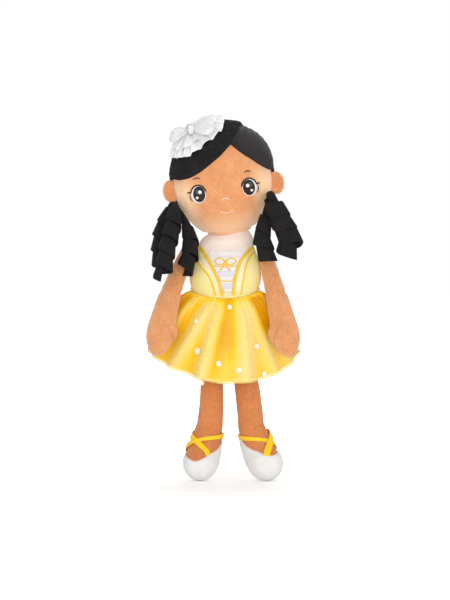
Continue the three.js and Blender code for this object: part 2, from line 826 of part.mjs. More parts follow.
/** Piping on the torso over the skirt's top edge. */
function waistPiping() {
  const out = clearance + pipingRadius;
  const rise = pipingRadius + satinWall + overlayWall + 2 * layerGap + skirtGap;
  const tube = ringOf(5, (k) => {
    const turn = TAU * k;
    const form = torsoForm.grown(out + pipingRadius * cos(turn));
    const lift = rise + pipingRadius * sin(turn);
    return ringOf(30, (s) => form.point(seamAt(s + 0.25) + lift, TAU * s));
  });
  return hoop(tube);
}

// Arms: distance runs from the top of the shoulder ball down to the mitten's tip

const shoulderHeight = neckRim - shoulderDrop;
const shoulderOut = torsoForm.wide(shoulderHeight) + shoulderGap + shoulderRadius;

const armLevels = [0.15, 0.27, 0.39, 0.51, 0.61, 0.71].map((share) => share * armLength);

const armForm = (side) =>
  new Form({
    stations: [
      [0, shoulderRadius, shoulderRadius],
      [shoulderRadius, shoulderRadius, shoulderRadius],
      ...armSections.map(([share, wide, deep]) => [share * armLength, wide, deep]),
    ],
    startRound: shoulderRadius,
    endRound: mittenRound,
    spine: (d) => {
      const share = max(0, min(1, (d - shoulderRadius) / (armLength - shoulderRadius)));
      return vec(across[side] * armBow * sin(PI * share), 0, shoulderRadius - d);
    },
    bump: (d, angle) => {
      const along = exp(-(((d - armLength * thumbPlace) / thumbReach) ** 2));
      const inward = across[side] > 0 ? (3 * PI) / 4 : PI / 4;
      return (thumbHeight / handWide) * along * max(0, cos(angle - inward)) ** 4;
    },
  });

function arm(side) {
  const form = armForm(side);
  const filling = form.grown(-coverWall - stuffingGap);
  const group = joint(
    `${side}_shoulder`,
    vec(across[side] * shoulderOut + torsoForm.spine(shoulderHeight).x, 0, shoulderHeight),
    piece(`arm_cover_${side}`, form.skin(coverWall, () => armOpening, 12, 3, armLevels, 4), skinPlush),
    piece(`arm_stuffing_${side}`, filling.solid(10, 3, armLevels, 3), stuffingFibre),
  );
  group.rotation.set(-rad(armLean), -across[side] * rad(armSpread[side]), 0, "XYZ");
  return group;
}

// Head: its own frame has the origin at the head's middle

const headForm = new Form({
  stations: [
    [-headTall, headWide, headDeep],
    [headTall, headWide, headDeep],
  ],
  startRound: headTall,
  endRound: headTall,
  spine: (d) => vec(0, 0, d),
});

/** Place over the head in direction `way`, a unit vector. */
const overHead = (way, height) =>
  vec((headWide + height) * way.x, (headDeep + height) * way.y, (headTall + height) * way.z);

/** Place on the face: millimetres across and above the head's middle. */
function onFace(x, z, height) {
  const [u, w] = [x / headWide, z / headTall];
  return overHead(vec(u, -sqrt(max(0, 1 - u * u - w * w)), w), height);
}

/** The neck's ball, in the head's frame or moved by `place`, for its own mesh or a cut. */
function neckBall(grow, place = vec(-headShift, 0, headSeat - headTall)) {
  const ball = new THREE.SphereGeometry(neckBallRadius + grow, 22, 14);
  ball.deleteAttribute("uv");
  return ball.translate(place.x, place.y, place.z);
}

/** The head's skin: a hollow shell whose hole at the bottom fits the neck's ball. */
function headCover() {
  const hollow = headForm.grown(-headWall).solid(24, 6, [], 6);
  return cutBy(cutBy(headForm.solid(24, 6, [], 6), hollow), neckBall(clearance + 0.3));
}

/** The head's filling, hollowed for the neck. */
function headStuffing() {
  const full = headForm.grown(-headWall - stuffingGap).solid(18, 5, [], 5);
  return cutBy(full, neckBall(clearance));
}

function ear(side) {
  const way = across[side];
  const at = (u, angle) => {
    const reach = sin(PI * u);
    const x = earHalfWide * reach * cos(angle);
    const z = earHalfTall * reach * sin(angle);
    const inHollow = u < 0.5 ? earDish * max(0, 1 - (reach / earDishReach) ** 2) : 0;
    const y = -earAhead - earHalfDeep * cos(PI * u) + inHollow;
    return vec(way * earOut + x, y, earHeight[side] + z);
  };
  const rings = shares(8).slice(1, -1).map((u) => ringOf(16, (k) => at(u, TAU * k)));
  const ends = [at(0, 0), at(1, 0)];
  return cutBy(loft(rings, ...ends), headForm.grown(clearance).solid(24, 7, [], 7));
}

/** Eye white, iris, lash line and brow. */
function eye(side) {
  const way = across[side];
  const centre = [(way * eyeSpacing) / 2, eyeHeight];
  const low = clearance;
  const over = low + trimWall + layerGap;
  const iris = [centre[0] - way * irisInward, centre[1]];
  const lid = (share, gap) => [
    centre[0] + way * (eyeHalfWide + gap) * cos(PI * share),
    centre[1] + (eyeHalfTall + gap) * sin(PI * share),
  ];
  const gap = lashWide / 2 + layerGap;
  const tip = [centre[0] + way * (eyeHalfWide + flick[0]), centre[1] + flick[1]];
  const lash = [tip, ...[0.14, 0.32, 0.5, 0.68, 0.86].map((s) => lid(s, gap))];
  const brow = [-1, 0, 1].map((k) => [
    centre[0] + k * browHalf,
    browHeight - browSag * abs(k),
  ]);
  const irisDisc = disc(onFace, iris, irisHalfWide, irisHalfTall, over, over + trimWall);
  return [
    piece(
      `eye_white_${side}`,
      disc(onFace, centre, eyeHalfWide, eyeHalfTall, low, low + trimWall),
      threadWhite,
    ),
    piece(`iris_${side}`, irisDisc, threadDark),
    piece(`lash_${side}`, strip(onFace, lash, lashWide, low, low + trimWall, 10), threadDark),
    piece(`brow_${side}`, strip(onFace, brow, strokeWide, low, low + trimWall, 4), threadDark),
  ];
}

const faceArc = (half, height, sag) =>
  [-1, -0.5, 0, 0.5, 1].map((k) => [k * half, height - sag * (1 - k * k)]);

// Hair: shares of the head's half-width and half-height, in the plane of the face

const hairline = {
  left: [[-0.975, 0.155], [-0.85, 0.1], [-0.634, 0.112], [-0.408, 0.186], [-0.174, 0.303],
    [0.036, 0.421], [0.25, 0.578]],
  right: [[0.268, 0.578], [0.438, 0.414], [0.61, 0.29], [0.78, 0.167], [0.92, 0.085], [0.985, 0.06]],
};

/** A unit direction from a share across, a share up and a sign for the front. */
const facing = ([u, w]) => vec(u, -sqrt(max(0.0001, 1 - u * u - w * w)), w).normalize();

/** Hair sheet from the hairline back over the head to the crown line. */
function frontHair(side, thickness) {
  const curve = new THREE.CatmullRomCurve3(hairline[side].map(([u, w]) => vec(u, w, 0)));
  const parting = { left: partTop, right: partTop + partGap }[side];
  const [from, to] = side === "left" ? [crownEnds.left, parting] : [parting, crownEnds.right];
  return patch(
    (p, q, depth) => {
      const { x, y } = curve.getPoint(p);
      const start = facing([x, y]);
      const crown = rad(mix(from, to, p));
      const end = vec(sin(crown), -0.02, cos(crown)).normalize();
      const gap = start.angleTo(end);
      const way = start
        .multiplyScalar(sin((1 - q) * gap))
        .addScaledVector(end, sin(q * gap))
        .normalize();
      const pile = mix(hairEdge, thickness, min(1, 3 * q));
      return overHead(way, hairSeat + depth * pile);
    },
    side === "left" ? 12 : 8,
    6,
  );
}

/** The hair at the back: a cap from the back of the head out to the crown line and the nape. */
function backHair() {
  const rimAngle = (turn) => {
    const down = max(0, -cos(turn));
    return rad(mix(capSide, napeAngle, down ** 1.5));
  };
  const ring = (share, height) =>
    ringOf(28, (k) => {
      const turn = TAU * k;
      const open = rimAngle(turn) * share;
      return overHead(vec(sin(open) * sin(turn), cos(open), sin(open) * cos(turn)), height);
    });
  const rows = shares(6).slice(1);
  const high = hairSeat + hairPile;
  const pole = (height) => overHead(vec(0, 1, 0), height);
  return loft(
    [
      ...rows.map((s) => ring(s, high)),
      ...[...rows].reverse().map((s) => ring(s, hairSeat)),
    ],
    pole(high),
    pole(hairSeat),
  );
}

// Ringlets: one unbroken felt band wound round each centre line, from the tie down

/** Place and directions at a share of a curve's length. */
function alongCurve(curve, share) {
  const down = curve.getTangentAt(share);
  const side = vec(1, 0, 0).addScaledVector(down, -down.x).normalize();
  return { centre: curve.getPointAt(share), down, side, front: side.clone().cross(down) };
}

/** Least distance between a band and its own next turns, over points on its two edges. */
function leastGap(edges, stepsPerTurn) {
  let least = Infinity;
  edges.forEach((a, i) =>
    edges.slice(i + Math.ceil(stepsPerTurn * 0.7)).forEach((b) => {
      for (const p of a) for (const q of b) least = min(least, p.distanceTo(q));
    }),
  );
  return least;
}

function ringlet(name, { centres, radius, startTurn }) {
  const curve = new THREE.CatmullRomCurve3(centres.map((c) => vec(...c)));
  const stepsPerTurn = 8;
  const turns = curve.getLength() / bandPitch;
  const steps = Math.round(turns * stepsPerTurn);
  const section = (share) => {
    const { centre, down, side, front } = alongCurve(curve, share);
    const angle = TAU * (startTurn + share * turns);
    const out = side.multiplyScalar(cos(angle)).addScaledVector(front, sin(angle));
    const grow = min(1, bandTop + share * turns * (1 - bandTop));
    const corner = (edge, skin) =>
      centre
        .clone()
        .addScaledVector(down, (edge * bandWide) / 2)
        .addScaledVector(out, grow * radius + edge * bandFlare + (skin * bandWall) / 2);
    return [corner(-1, -1), corner(-1, 1), corner(1, 1), corner(1, -1)];
  };
  const rings = shares(steps).map(section);
  console.log(`${name}: least gap to itself ${leastGap(rings, stepsPerTurn).toFixed(2)} mm`);
  return loft(rings);
}

/** A strand from the tie's middle into the top of a ringlet. */
function strand({ centres, radius }) {
  const curve = new THREE.CatmullRomCurve3(centres.map((c) => vec(...c)));
  const { centre, down, side, front } = alongCurve(curve, 0);
  const thick = bandTop * radius - bandFlare - bandWall / 2 - strandGap;
  const entry = -bandWide / 2;
  const ring = (middle) =>
    ringOf(8, (turn) =>
      middle
        .clone()
        .addScaledVector(side, thick * cos(TAU * turn))
        .addScaledVector(front, thick * sin(TAU * turn)),
    );
  const onAxis = (d) => centre.clone().addScaledVector(down, d);
  return loft([vec(0, 0, 0), onAxis(entry - 1), onAxis(entry + strandInside)].map(ring));
}

/** A bunch's tie, with a strand into each of its ringlets, in the frame of its pivot. */
function hairTie(side) {
  const ball = new THREE.SphereGeometry(tieRadius, 12, 8);
  ball.deleteAttribute("uv");
  return joined(ball, ...Object.values(ringlets[side]).map(strand));
}

// Where each tie is sewn on: shares of the head's half-width and half-height
const bunchPlace = { left: [-0.93, -0.33], right: [0.83, -0.36] };

/** Ringlets: centre line from the pivot, in the doll's upright frame, and sizes. */
const ringlets = {
  left: {
    ringlet_front_left: {
      centres: [[3, -20, -6], [0.5, -28, -22], [-4, -31, -38], [-6, -32, -52], [-9, -32, -69]],
      radius: 8.2,
      startTurn: 0.35,
    },
    ringlet_outer_left: {
      centres: [[-10, -8, -14], [-14, -11, -28], [-16, -15, -42], [-15.5, -17, -57]],
      radius: 6.4,
      startTurn: 0.1,
    },
    ringlet_inner_left: {
      centres: [[15, -13, -21], [16, -15, -32], [15, -18, -46], [10, -19, -61]],
      radius: 7.6,
      startTurn: 0.6,
    },
  },
  right: {
    ringlet_outer_right: {
      centres: [[2, -14, -14], [7.5, -14, -23], [14, -14, -32], [21, -14, -43], [19, -14, -56]],
      radius: 8.4,
      startTurn: 0.2,
    },
    ringlet_inner_right: {
      centres: [[-8, -4, -28], [-10, -6, -42], [-4, -7, -60]],
      radius: 8,
      startTurn: 0.5,
    },
  },
};

/** A tie and its ringlets, hanging upright from a pivot on the tilted head. */
function bunch(side) {
  const bands = Object.entries(ringlets[side]).map(([name, sizes]) =>
    piece(name, ringlet(name, sizes), ringletFelt),
  );
  const group = joint(
    `${side}_bunch`,
    overHead(facing(bunchPlace[side]), tieRadius - tieSeat),
    piece(`hair_tie_${side}`, hairTie(side), hairPlush),
    ...bands,
  );
  group.rotation.y = -rad(headTilt);
  return group;
}

// Hair bow

/** Gathered tulle: a waved disc of two skins round the bow's middle, facing +Z. */
function tulleDisc() {
  const at = (reach, turn, height) => {
    const wave = tulleWave.height * sin(tulleWave.count * turn);
    const roll = tulleRoll.height * sin(tulleRoll.count * turn + 1);
    const radius = tulleRadius * reach * (1 + tulleRagged * sin(5 * turn + 0.6));
    const lift = (wave + roll) * reach - tulleDrop * reach ** 2 + height;
    return vec(radius * cos(turn), radius * sin(turn), lift);
  };
  const ring = (reach, height) => ringOf(36, (k) => at(reach, TAU * k, height));
  const rows = [0.25, 0.6, 1];
  return loft(
    [...rows.map((r) => ring(r, tulleWall)), ...[...rows].reverse().map((r) => ring(r, 0))],
    at(0, 0, tulleWall),
    at(0, 0, 0),
  );
}

/** A puffed loop of the bow, out from the knot along +X or -X. */
function bowLoop(way) {
  const form = new Form({
    stations: [
      [0, ...loopNeck],
      [loopLong * loopFull, loopWide, loopThick],
      [loopLong, loopWide, loopThick],
    ],
    startRound: 1,
    endRound: loopLong * 0.35,
    spine: (d) => vec(0, 0, d),
  });
  const levels = [0.2, 0.42].map((share) => share * loopLong);
  return form.solid(10, 1, levels, 3).rotateZ(PI / 2).rotateY((way * PI) / 2);
}

/** Bow on the upper left of the head; its own +Z points away from the head. */
function hairBow() {
  const way = facing(bowPlace);
  const seat = overHead(way, hairSeat + hairPile + bowSeat);
  const knotOut = tulleWall + layerGap + loopThick;
  const loopStart = knotRadius + layerGap;
  const loopAt = (side) => {
    const mesh = piece(`bow_loop_${side}`, bowLoop(across[side]), bowTulle);
    mesh.position.set(across[side] * loopStart, 0, knotOut);
    return mesh;
  };
  const knot = new THREE.SphereGeometry(knotRadius, 12, 8);
  const knotMesh = piece("bow_knot", knot, bowTulle);
  knotMesh.position.set(0, 0, tulleWall + layerGap + knotRadius);
  const group = joint(
    "hair_bow",
    seat,
    piece("tulle_disc", tulleDisc(), bowTulle),
    loopAt("left"),
    loopAt("right"),
    knotMesh,
  );
  const normal = vec(way.x / headWide, way.y / headDeep, way.z / headTall).normalize();
  group.quaternion.setFromUnitVectors(vec(0, 0, 1), normal);
  return group;
}

function head() {
  const low = clearance;
  const high = low + trimWall;
  const nose = faceArc(noseHalf, noseHeight, noseSag);
  const mouth = faceArc(mouthHalf, mouthHeight, mouthSag);
  const middle = joint(
    "head_middle",
    vec(headShift, 0, headTall - headSeat),
    piece("head_cover", headCover(), skinFace),
    piece("head_stuffing", headStuffing(), stuffingFibre),
    ...sides.map((side) => piece(`ear_${side}`, ear(side), skinFace)),
    ...sides.flatMap(eye),
    piece("nose", strip(onFace, nose, strokeWide, low, high, 6), threadPeach),
    piece("mouth", strip(onFace, mouth, strokeWide, low, high, 8), threadPeach),
    piece("hair_front_left", frontHair("left", hairPile), hairPlush),
    piece("hair_front_right", frontHair("right", hairPile * satinShare), hairSatin),
    piece("hair_back", backHair(), hairPlush),
    ...sides.map(bunch),
    hairBow(),
  );
  const group = joint("neck", vec(neckShift, 0, neckRim + neckGap), middle);
  group.rotation.y = rad(headTilt);
  return group;
}

/** The neck: a stuffed post from inside the torso up to a ball at the head's pivot. */
function neckStump() {
  const tall = neckDepth + neckGap;
  const post = new THREE.CylinderGeometry(neckRadius, neckRadius, tall, 22);
  post.deleteAttribute("uv");
  post.rotateX(PI / 2).translate(neckShift, 0, neckRim + neckGap - tall / 2);
  return joined(post, neckBall(0, vec(neckShift, 0, neckRim + neckGap)));
}

/** The torso's filling, flat under the neck's foot. */
function torsoStuffing() {
  const form = torsoForm.grown(-coverWall - stuffingGap);
  const rows = shares(8).map((k) => mix(form.start + 1, neckRim - neckDepth - clearance, k));
  return loft(rows.map((d) => form.ring(d, 18)));
}

/** The crotch's gusset, a disc between the two hip balls. */
function gusset() {
  const shape = new THREE.CylinderGeometry(gussetRadius, gussetRadius, gussetWide, 20);
  return shape.rotateZ(PI / 2);
}

function doll() {
  const torso = joint(
    "torso",
    vec(0, 0, torsoBase),
    piece("torso_cover", torsoCover(), bodiceCloth),
    piece("torso_stuffing", torsoStuffing(), stuffingFibre),
    piece("neck_stump", neckStump(), skinPlush),
    piece("chest_yoke", chestYoke(), yokeCloth),
    piece("stomacher", stomacher(), whiteSatin),
    piece("lace_edge", laceEdge(), whiteSatin),
    piece("bodice_bow", bodiceBow(), threadYellow),
    piece("waist_piping", waistPiping(), threadYellow),
    piece("skirt_satin", skirtLayer(() => 0, () => satinWall, 0), skirtSatin),
    piece("skirt_overlay", skirtLayer(overlayAt, overlayOver, overlayDrop), skirtSheer),
    ...sides.flatMap((side) => [trim("wide", side), trim("narrow", side)]),
    ...sides.map(arm),
    head(),
  );
  const gussetMesh = piece("crotch_gusset", gusset(), skinPlush);
  gussetMesh.position.set(pelvisShift, 0, hipHeight);
  const group = new THREE.Group();
  group.add(torso, gussetMesh, ...sides.map(leg));
  return group;
}

const group = doll();
const box = new THREE.Box3().setFromObject(group, true);
const middle = box.getCenter(vec(0, 0, 0));
group.position.set(-middle.x, -middle.y, -box.min.z);

export default group;
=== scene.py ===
"""A soft rag doll with ringlets, a bodice, a satin skirt and ballet shoes, dressed over its frame.

Shapes are worked out in millimetres and become metres when a mesh is made. Left and right are the
viewer's. An angle round a limb starts at +X and is a quarter turn in front.
"""
import json
import logging
import math
from dataclasses import dataclass, field, replace
from enum import Enum
from typing import Callable, Sequence

import bmesh
import bpy
import numpy as np
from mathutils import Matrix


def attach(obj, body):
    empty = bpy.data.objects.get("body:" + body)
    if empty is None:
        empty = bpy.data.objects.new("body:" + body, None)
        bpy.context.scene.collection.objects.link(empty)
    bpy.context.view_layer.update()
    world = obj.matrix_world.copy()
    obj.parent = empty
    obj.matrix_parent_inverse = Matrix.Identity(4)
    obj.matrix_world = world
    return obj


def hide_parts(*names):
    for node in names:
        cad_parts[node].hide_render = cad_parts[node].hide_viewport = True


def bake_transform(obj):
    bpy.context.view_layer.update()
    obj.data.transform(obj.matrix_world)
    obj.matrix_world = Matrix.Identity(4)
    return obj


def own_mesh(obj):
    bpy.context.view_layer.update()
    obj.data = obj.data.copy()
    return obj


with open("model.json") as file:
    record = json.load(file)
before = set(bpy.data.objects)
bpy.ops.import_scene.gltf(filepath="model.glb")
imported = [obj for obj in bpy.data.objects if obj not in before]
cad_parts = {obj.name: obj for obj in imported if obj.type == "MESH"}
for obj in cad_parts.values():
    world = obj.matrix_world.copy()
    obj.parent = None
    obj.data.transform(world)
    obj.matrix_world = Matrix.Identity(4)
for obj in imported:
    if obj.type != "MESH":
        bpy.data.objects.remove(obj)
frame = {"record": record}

LOG = logging.getLogger("doll")
Array = np.ndarray
SurfaceAt = Callable[[Array, Array, Array], Array]
MM = 0.001
TAU = 2 * math.pi
SIDES = {"left": -1, "right": 1}
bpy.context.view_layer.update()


# Shape helpers

def unit(v: Array) -> Array:
    """Vectors scaled to length one."""
    return v / np.maximum(np.linalg.norm(v, axis=-1, keepdims=True), 1e-9)


def turns(count: int) -> Array:
    """Angles evenly round a full turn, the end left out."""
    return np.arange(count) * TAU / count


def stack(x: Array, y: Array, z: Array) -> Array:
    """Three coordinate arrays as one array of points."""
    return np.stack(np.broadcast_arrays(x, y, z), axis=-1).astype(float)


def smooth(stations: Sequence[Sequence[float]], d: Array, column: int) -> Array:
    """Value of a column at d: a cubic through the stations whose slopes join their neighbours.

    Args:
        stations: rows that start with a distance.
        d: distances to read at.
        column: which value of a row.
    """
    table = np.array(stations, float)
    x, y = table[:, 0], table[:, column]
    slope = (np.r_[y[1:], y[-1]] - np.r_[y[0], y[:-1]]) / (np.r_[x[1:], x[-1]] - np.r_[x[0], x[:-1]])
    i = np.clip(np.searchsorted(x, d, side="right") - 1, 0, len(x) - 2)
    span = x[i + 1] - x[i]
    u = np.clip((d - x[i]) / span, 0, 1)
    start = (2 * u**3 - 3 * u**2 + 1) * y[i] + (u**3 - 2 * u**2 + u) * slope[i] * span
    return start + (3 * u**2 - 2 * u**3) * y[i + 1] + (u**3 - u**2) * slope[i + 1] * span


def ripple(a: Array, b: Array, scale: float, seed: float = 0.0) -> Array:
    """Gentle unevenness from -1 to 1: four crossed sines of two coordinates, in waves of `scale`."""
    k = TAU / scale
    return (
        np.sin(k * a + seed) * np.cos(0.83 * k * b + 1.7 * seed)
        + np.sin(0.61 * k * b - 0.4 * k * a + 2.3 * seed)
        + 0.6 * np.sin(1.9 * k * a + 0.7 * k * b + 3.1 * seed)
        + 0.4 * np.cos(2.7 * k * b - 1.3 * k * a + seed)
    ) / 3


def bell(x: Array, half: float, power: float = 2) -> Array:
    """A bell curve, one at zero and 1/e at the half-width; a higher power flattens its top."""
    return np.exp(-np.abs(x / half) ** power)


def wrapped(angle: Array) -> Array:
    """Angles brought between minus and plus half a turn."""
    return (angle + math.pi) % TAU - math.pi


def quarter(share: Array) -> Array:
    """Height of a quarter circle at a share of its width."""
    return np.sqrt(1 - (1 - share) ** 2)


def signed_power(value: Array, power: float) -> Array:
    """A power of the size that keeps the sign; below one it squares off a cosine."""
    return np.sign(value) * np.abs(value) ** power


@dataclass(frozen=True)
class Placement:
    """Where a sub-assembly's own frame stands in the doll's frame."""

    origin: Array
    turn: Array = field(default_factory=lambda: np.eye(3))

    def __call__(self, points: Array) -> Array:
        """Points turned and then moved."""
        return points @ self.turn.T + self.origin


def about(axis: str, degrees: float) -> Array:
    """Rotation matrix about x, y or z by the right-hand rule."""
    c, s = math.cos(math.radians(degrees)), math.sin(math.radians(degrees))
    rows = {
        "x": [[1, 0, 0], [0, c, -s], [0, s, c]],
        "y": [[c, 0, s], [0, 1, 0], [-s, 0, c]],
        "z": [[c, -s, 0], [s, c, 0], [0, 0, 1]],
    }
    return np.array(rows[axis], float)


def pivot(joint: str) -> Array:
    """A joint's place in the record, in millimetres."""
    joints = frame["record"]["behaviour"]["joints"]
    return np.array(next(j["pos_m"] for j in joints if j["name"] == joint)) / MM


@dataclass(frozen=True)
class Stuffed:
    """A stuffed form: elliptical sections [distance, half-width, half-depth] along a centre line."""

    stations: Sequence[Sequence[float]]
    start_round: float
    end_round: float
    spine: Callable[[Array], Array]
    upright: bool = False
    grow: float = 0.0
    swell: Callable[[Array, Array], Array] | None = None

    @property
    def start(self) -> float:
        """Distance at which the form begins."""
        return self.stations[0][0] - self.grow

    @property
    def end(self) -> float:
        """Distance at which the form ends."""
        return self.stations[-1][0] + self.grow

    def grown(self, by: float) -> "Stuffed":
        """The same form with its surface moved out."""
        return replace(self, grow=self.grow + by)

    def rounding(self, d: Array) -> Array:
        """Share of full size near an end: a quarter ellipse from the tip inwards."""
        share = np.ones_like(d, float)
        for inset, length in ((d - self.start, self.start_round), (self.end - d, self.end_round)):
            if length + self.grow > 0:
                k = np.clip(inset / (length + self.grow), 0, 1)
                share = share * quarter(k)
        return share

    def at(self, d: Array, angle: Array, height: Array | float = 0.0) -> Array:
        """Place on the form: centre plus half-width along the side and half-depth along the front."""
        d, angle = np.broadcast_arrays(np.asarray(d, float), np.asarray(angle, float))
        if self.upright:
            along = np.broadcast_to(np.array([0.0, 0.0, 1.0]), d.shape + (3,))
        else:
            along = unit(self.spine(d + 0.5) - self.spine(d - 0.5))
        side = unit(np.array([1.0, 0.0, 0.0]) - along * along[..., :1])
        front = np.cross(side, along)
        front = np.where(front[..., 1:2] > 0, -front, front)
        grow = self.grow + height
        full = 1 + (self.swell(d, angle) if self.swell else 0)
        round_ = self.rounding(d) * full
        wide = (smooth(self.stations, d, 1) + grow) * round_ * np.cos(angle)
        deep = (smooth(self.stations, d, 2) + grow) * round_ * np.sin(angle)
        return self.spine(d) + side * wide[..., None] + front * deep[..., None]

    def spread(self, rows: int) -> Array:
        """Distances from tip to tip, close together at both rounded ends."""
        return (self.start + self.end) / 2 - (self.end - self.start) / 2 * np.cos(
            np.linspace(0, math.pi, rows)
        )

    def front(self, d: Array, share: Array, height: Array | float) -> Array:
        """Place on the front at a share of the half-width, raised along the surface normal."""
        angle = np.arccos(np.clip(share, -1, 1))
        normal = unit(
            np.cross(
                self.at(d + 1, angle) - self.at(d - 1, angle),
                self.at(d, angle + 0.01) - self.at(d, angle - 0.01),
            )
        )
        normal = np.where(normal[..., 1:2] > 0, -normal, normal)
        return self.at(d, angle) + normal * np.asarray(height)[..., None]


class Mesh:
    """Makes Blender meshes from grids of points in millimetres."""

    @staticmethod
    def grid(
        name: str,
        points: Array,
        round_: bool = True,
        poles: tuple[bool, bool] = (True, True),
        ring: bool = False,
        cloth: tuple[float, float] = (0.1, 0.1),
    ) -> bpy.types.Object:
        """A piece from rows of points.

        Args:
            name: the piece's name.
            points: rows, columns, 3.
            round_: the last column joins the first.
            poles: the first and the last row are drawn to their middle.
            ring: the last row joins the first.
            cloth: size of the flat cloth in metres along the columns and the rows, for its UV map.
        Returns:
            The object, at the origin, smooth and facing outwards.
        """
        rows, cols = points.shape[:2]
        verts = [points.reshape(-1, 3)]
        r = np.arange(rows if ring else rows - 1)[:, None]
        c = np.arange(cols if round_ else cols - 1)[None, :]
        below, beside = (r + 1) % rows, (c + 1) % cols
        quads = np.stack(
            np.broadcast_arrays(r * cols + c, r * cols + beside, below * cols + beside, below * cols + c), -1
        ).reshape(-1, 4)
        u = np.stack(np.broadcast_arrays(c, c + 1, c + 1, c), -1) / (cols if round_ else cols - 1)
        v = np.stack(np.broadcast_arrays(r, r, r + 1, r + 1), -1) / (rows - 1)
        u, v = np.broadcast_arrays(u, v)
        uv = [np.stack([u * cloth[0], v * cloth[1]], -1).reshape(-1, 2)]
        faces = quads.tolist()
        for use, row, share in ((poles[0], 0, 0.0), (poles[1], rows - 1, 1.0)):
            if not use:
                continue
            centre = sum(len(block) for block in verts)
            verts.append(points[row].mean(axis=0, keepdims=True))
            ends = np.stack([row * cols + c[0], row * cols + beside[0], np.full(c.size, centre)], -1)
            faces += ends.tolist()
            across = np.stack([c[0], c[0] + 1, c[0] + 0.5], -1) / cols * cloth[0]
            uv.append(np.stack([across, np.full_like(across, share * cloth[1])], -1).reshape(-1, 2))
        return Mesh.piece(name, np.concatenate(verts) * MM, faces, np.concatenate(uv))

    @staticmethod
    def piece(name: str, verts: Array, faces: list[list[int]], uv: Array) -> bpy.types.Object:
        """An object from vertices in metres, with doubles merged and normals facing out."""
        mesh = bpy.data.meshes.new(name)
        mesh.from_pydata(verts.tolist(), [], faces)
        mesh.uv_layers.new(name="cloth").data.foreach_set("uv", uv.ravel())
        shape = bmesh.new()
        shape.from_mesh(mesh)
        bmesh.ops.remove_doubles(shape, verts=shape.verts, dist=2e-6)
        bmesh.ops.recalc_face_normals(shape, faces=shape.faces)
        shape.to_mesh(mesh)
        shape.free()
        mesh.polygons.foreach_set("use_smooth", np.ones(len(mesh.polygons), bool))
        obj = bpy.data.objects.new(name, mesh)
        bpy.context.scene.collection.objects.link(obj)
        return obj

    @staticmethod
    def joined(name: str, parts: Sequence[bpy.types.Object]) -> bpy.types.Object:
        """Several pieces as one object; the pieces are used up."""
        shape = bmesh.new()
        for part in parts:
            shape.from_mesh(part.data)
            bpy.data.objects.remove(part)
        mesh = bpy.data.meshes.new(name)
        shape.to_mesh(mesh)
        shape.free()
        obj = bpy.data.objects.new(name, mesh)
        bpy.context.scene.collection.objects.link(obj)
        return obj

    @staticmethod
    def lens(name: str, at: SurfaceAt, centre: Sequence[float], half: Sequence[float], low: float,
             high: float, count: int = 40) -> bpy.types.Object:
        """An embroidered disc: an ellipse on a surface whose height rises to its middle in a dome."""
        u = np.linspace(0, math.pi, 17)[:, None]
        turn = turns(count)[None, :]
        reach = np.sin(u) ** 0.7
        lift = low + (high - low) * np.clip(np.cos(u), 0, None) ** 0.6
        s = centre[0] + half[0] * reach * np.cos(turn)
        t = centre[1] + half[1] * reach * np.sin(turn)
        return Mesh.grid(name, at(s, t, lift + 0 * s), cloth=(0.02, 0.02))

    @staticmethod
    def braid(name: str, at: SurfaceAt, path: Sequence[Sequence[float]], width: float, low: float,
              high: float, steps: int = 60, taper: float = 0.0) -> bpy.types.Object:
        """A flat cord on a surface: an oval section carried along a smooth path of [s, t] places."""
        k = np.linspace(0, 1, steps)
        knots = np.column_stack([np.linspace(0, 1, len(path)), np.array(path, float)])
        s, t = smooth(knots, k, 1), smooth(knots, k, 2)
        ds, dt = np.gradient(s), np.gradient(t)
        size = np.hypot(ds, dt)
        end = np.minimum(k, 1 - k) * size.sum()
        if taper == 0:
            narrow = np.sqrt(np.clip(end / (width * 0.6), 0, 1))
        else:
            narrow = np.clip(end / taper, 0, 1) ** 0.6
        turn = turns(12)[None, :]
        across = (width / 2 * narrow)[:, None] * np.cos(turn)
        rise = (low + high) / 2 + (high - low) / 2 * np.sin(turn) * narrow[:, None]
        points = at(
            s[:, None] - (dt / size)[:, None] * across, t[:, None] + (ds / size)[:, None] * across, rise
        )
        return Mesh.grid(name, points, cloth=(width * MM * 2, size.sum() * MM))

    @staticmethod
    def tube(name: str, line: Array, radius: float | Array, closed: bool = False, sides: int = 12,
             cloth: tuple[float, float] = (0.005, 0.1)) -> bpy.types.Object:
        """A round cord along points: circles square to the line's direction at each point."""
        if closed:
            along = unit(np.roll(line, -1, 0) - np.roll(line, 1, 0))
        else:
            along = unit(np.gradient(line, axis=0))
        middle = line.mean(axis=0)
        side = unit(np.cross(along, line - middle + np.array([0.01, 0.02, 0.03])))
        up = np.cross(side, along)
        turn = turns(sides)[None, :, None]
        size = np.broadcast_to(np.asarray(radius, float), (len(line),))[:, None, None]
        points = line[:, None] + size * (np.cos(turn) * side[:, None] + np.sin(turn) * up[:, None])
        return Mesh.grid(name, points, ring=closed, poles=(not closed, not closed), cloth=cloth)

    @staticmethod
    def shaded(obj: bpy.types.Object, tone: Array) -> None:
        """Keeps a value of painted light for each vertex in a second UV map: below a half is painted shade, above
        it a painted highlight.
        """
        corner = np.empty(len(obj.data.loops), np.int32)
        obj.data.loops.foreach_get("vertex_index", corner)
        uv = np.column_stack([tone.ravel()[corner], np.full(corner.size, 0.5)])
        obj.data.uv_layers.new(name="folds").data.foreach_set("uv", uv.ravel())

    @staticmethod
    def thicken(obj: bpy.types.Object, wall: float, offset: float = 0.0) -> None:
        """Gives a single layer of cloth its thickness in millimetres."""
        mod = obj.modifiers.new("cloth", "SOLIDIFY")
        mod.thickness = wall * MM
        mod.offset = offset


# Finishes

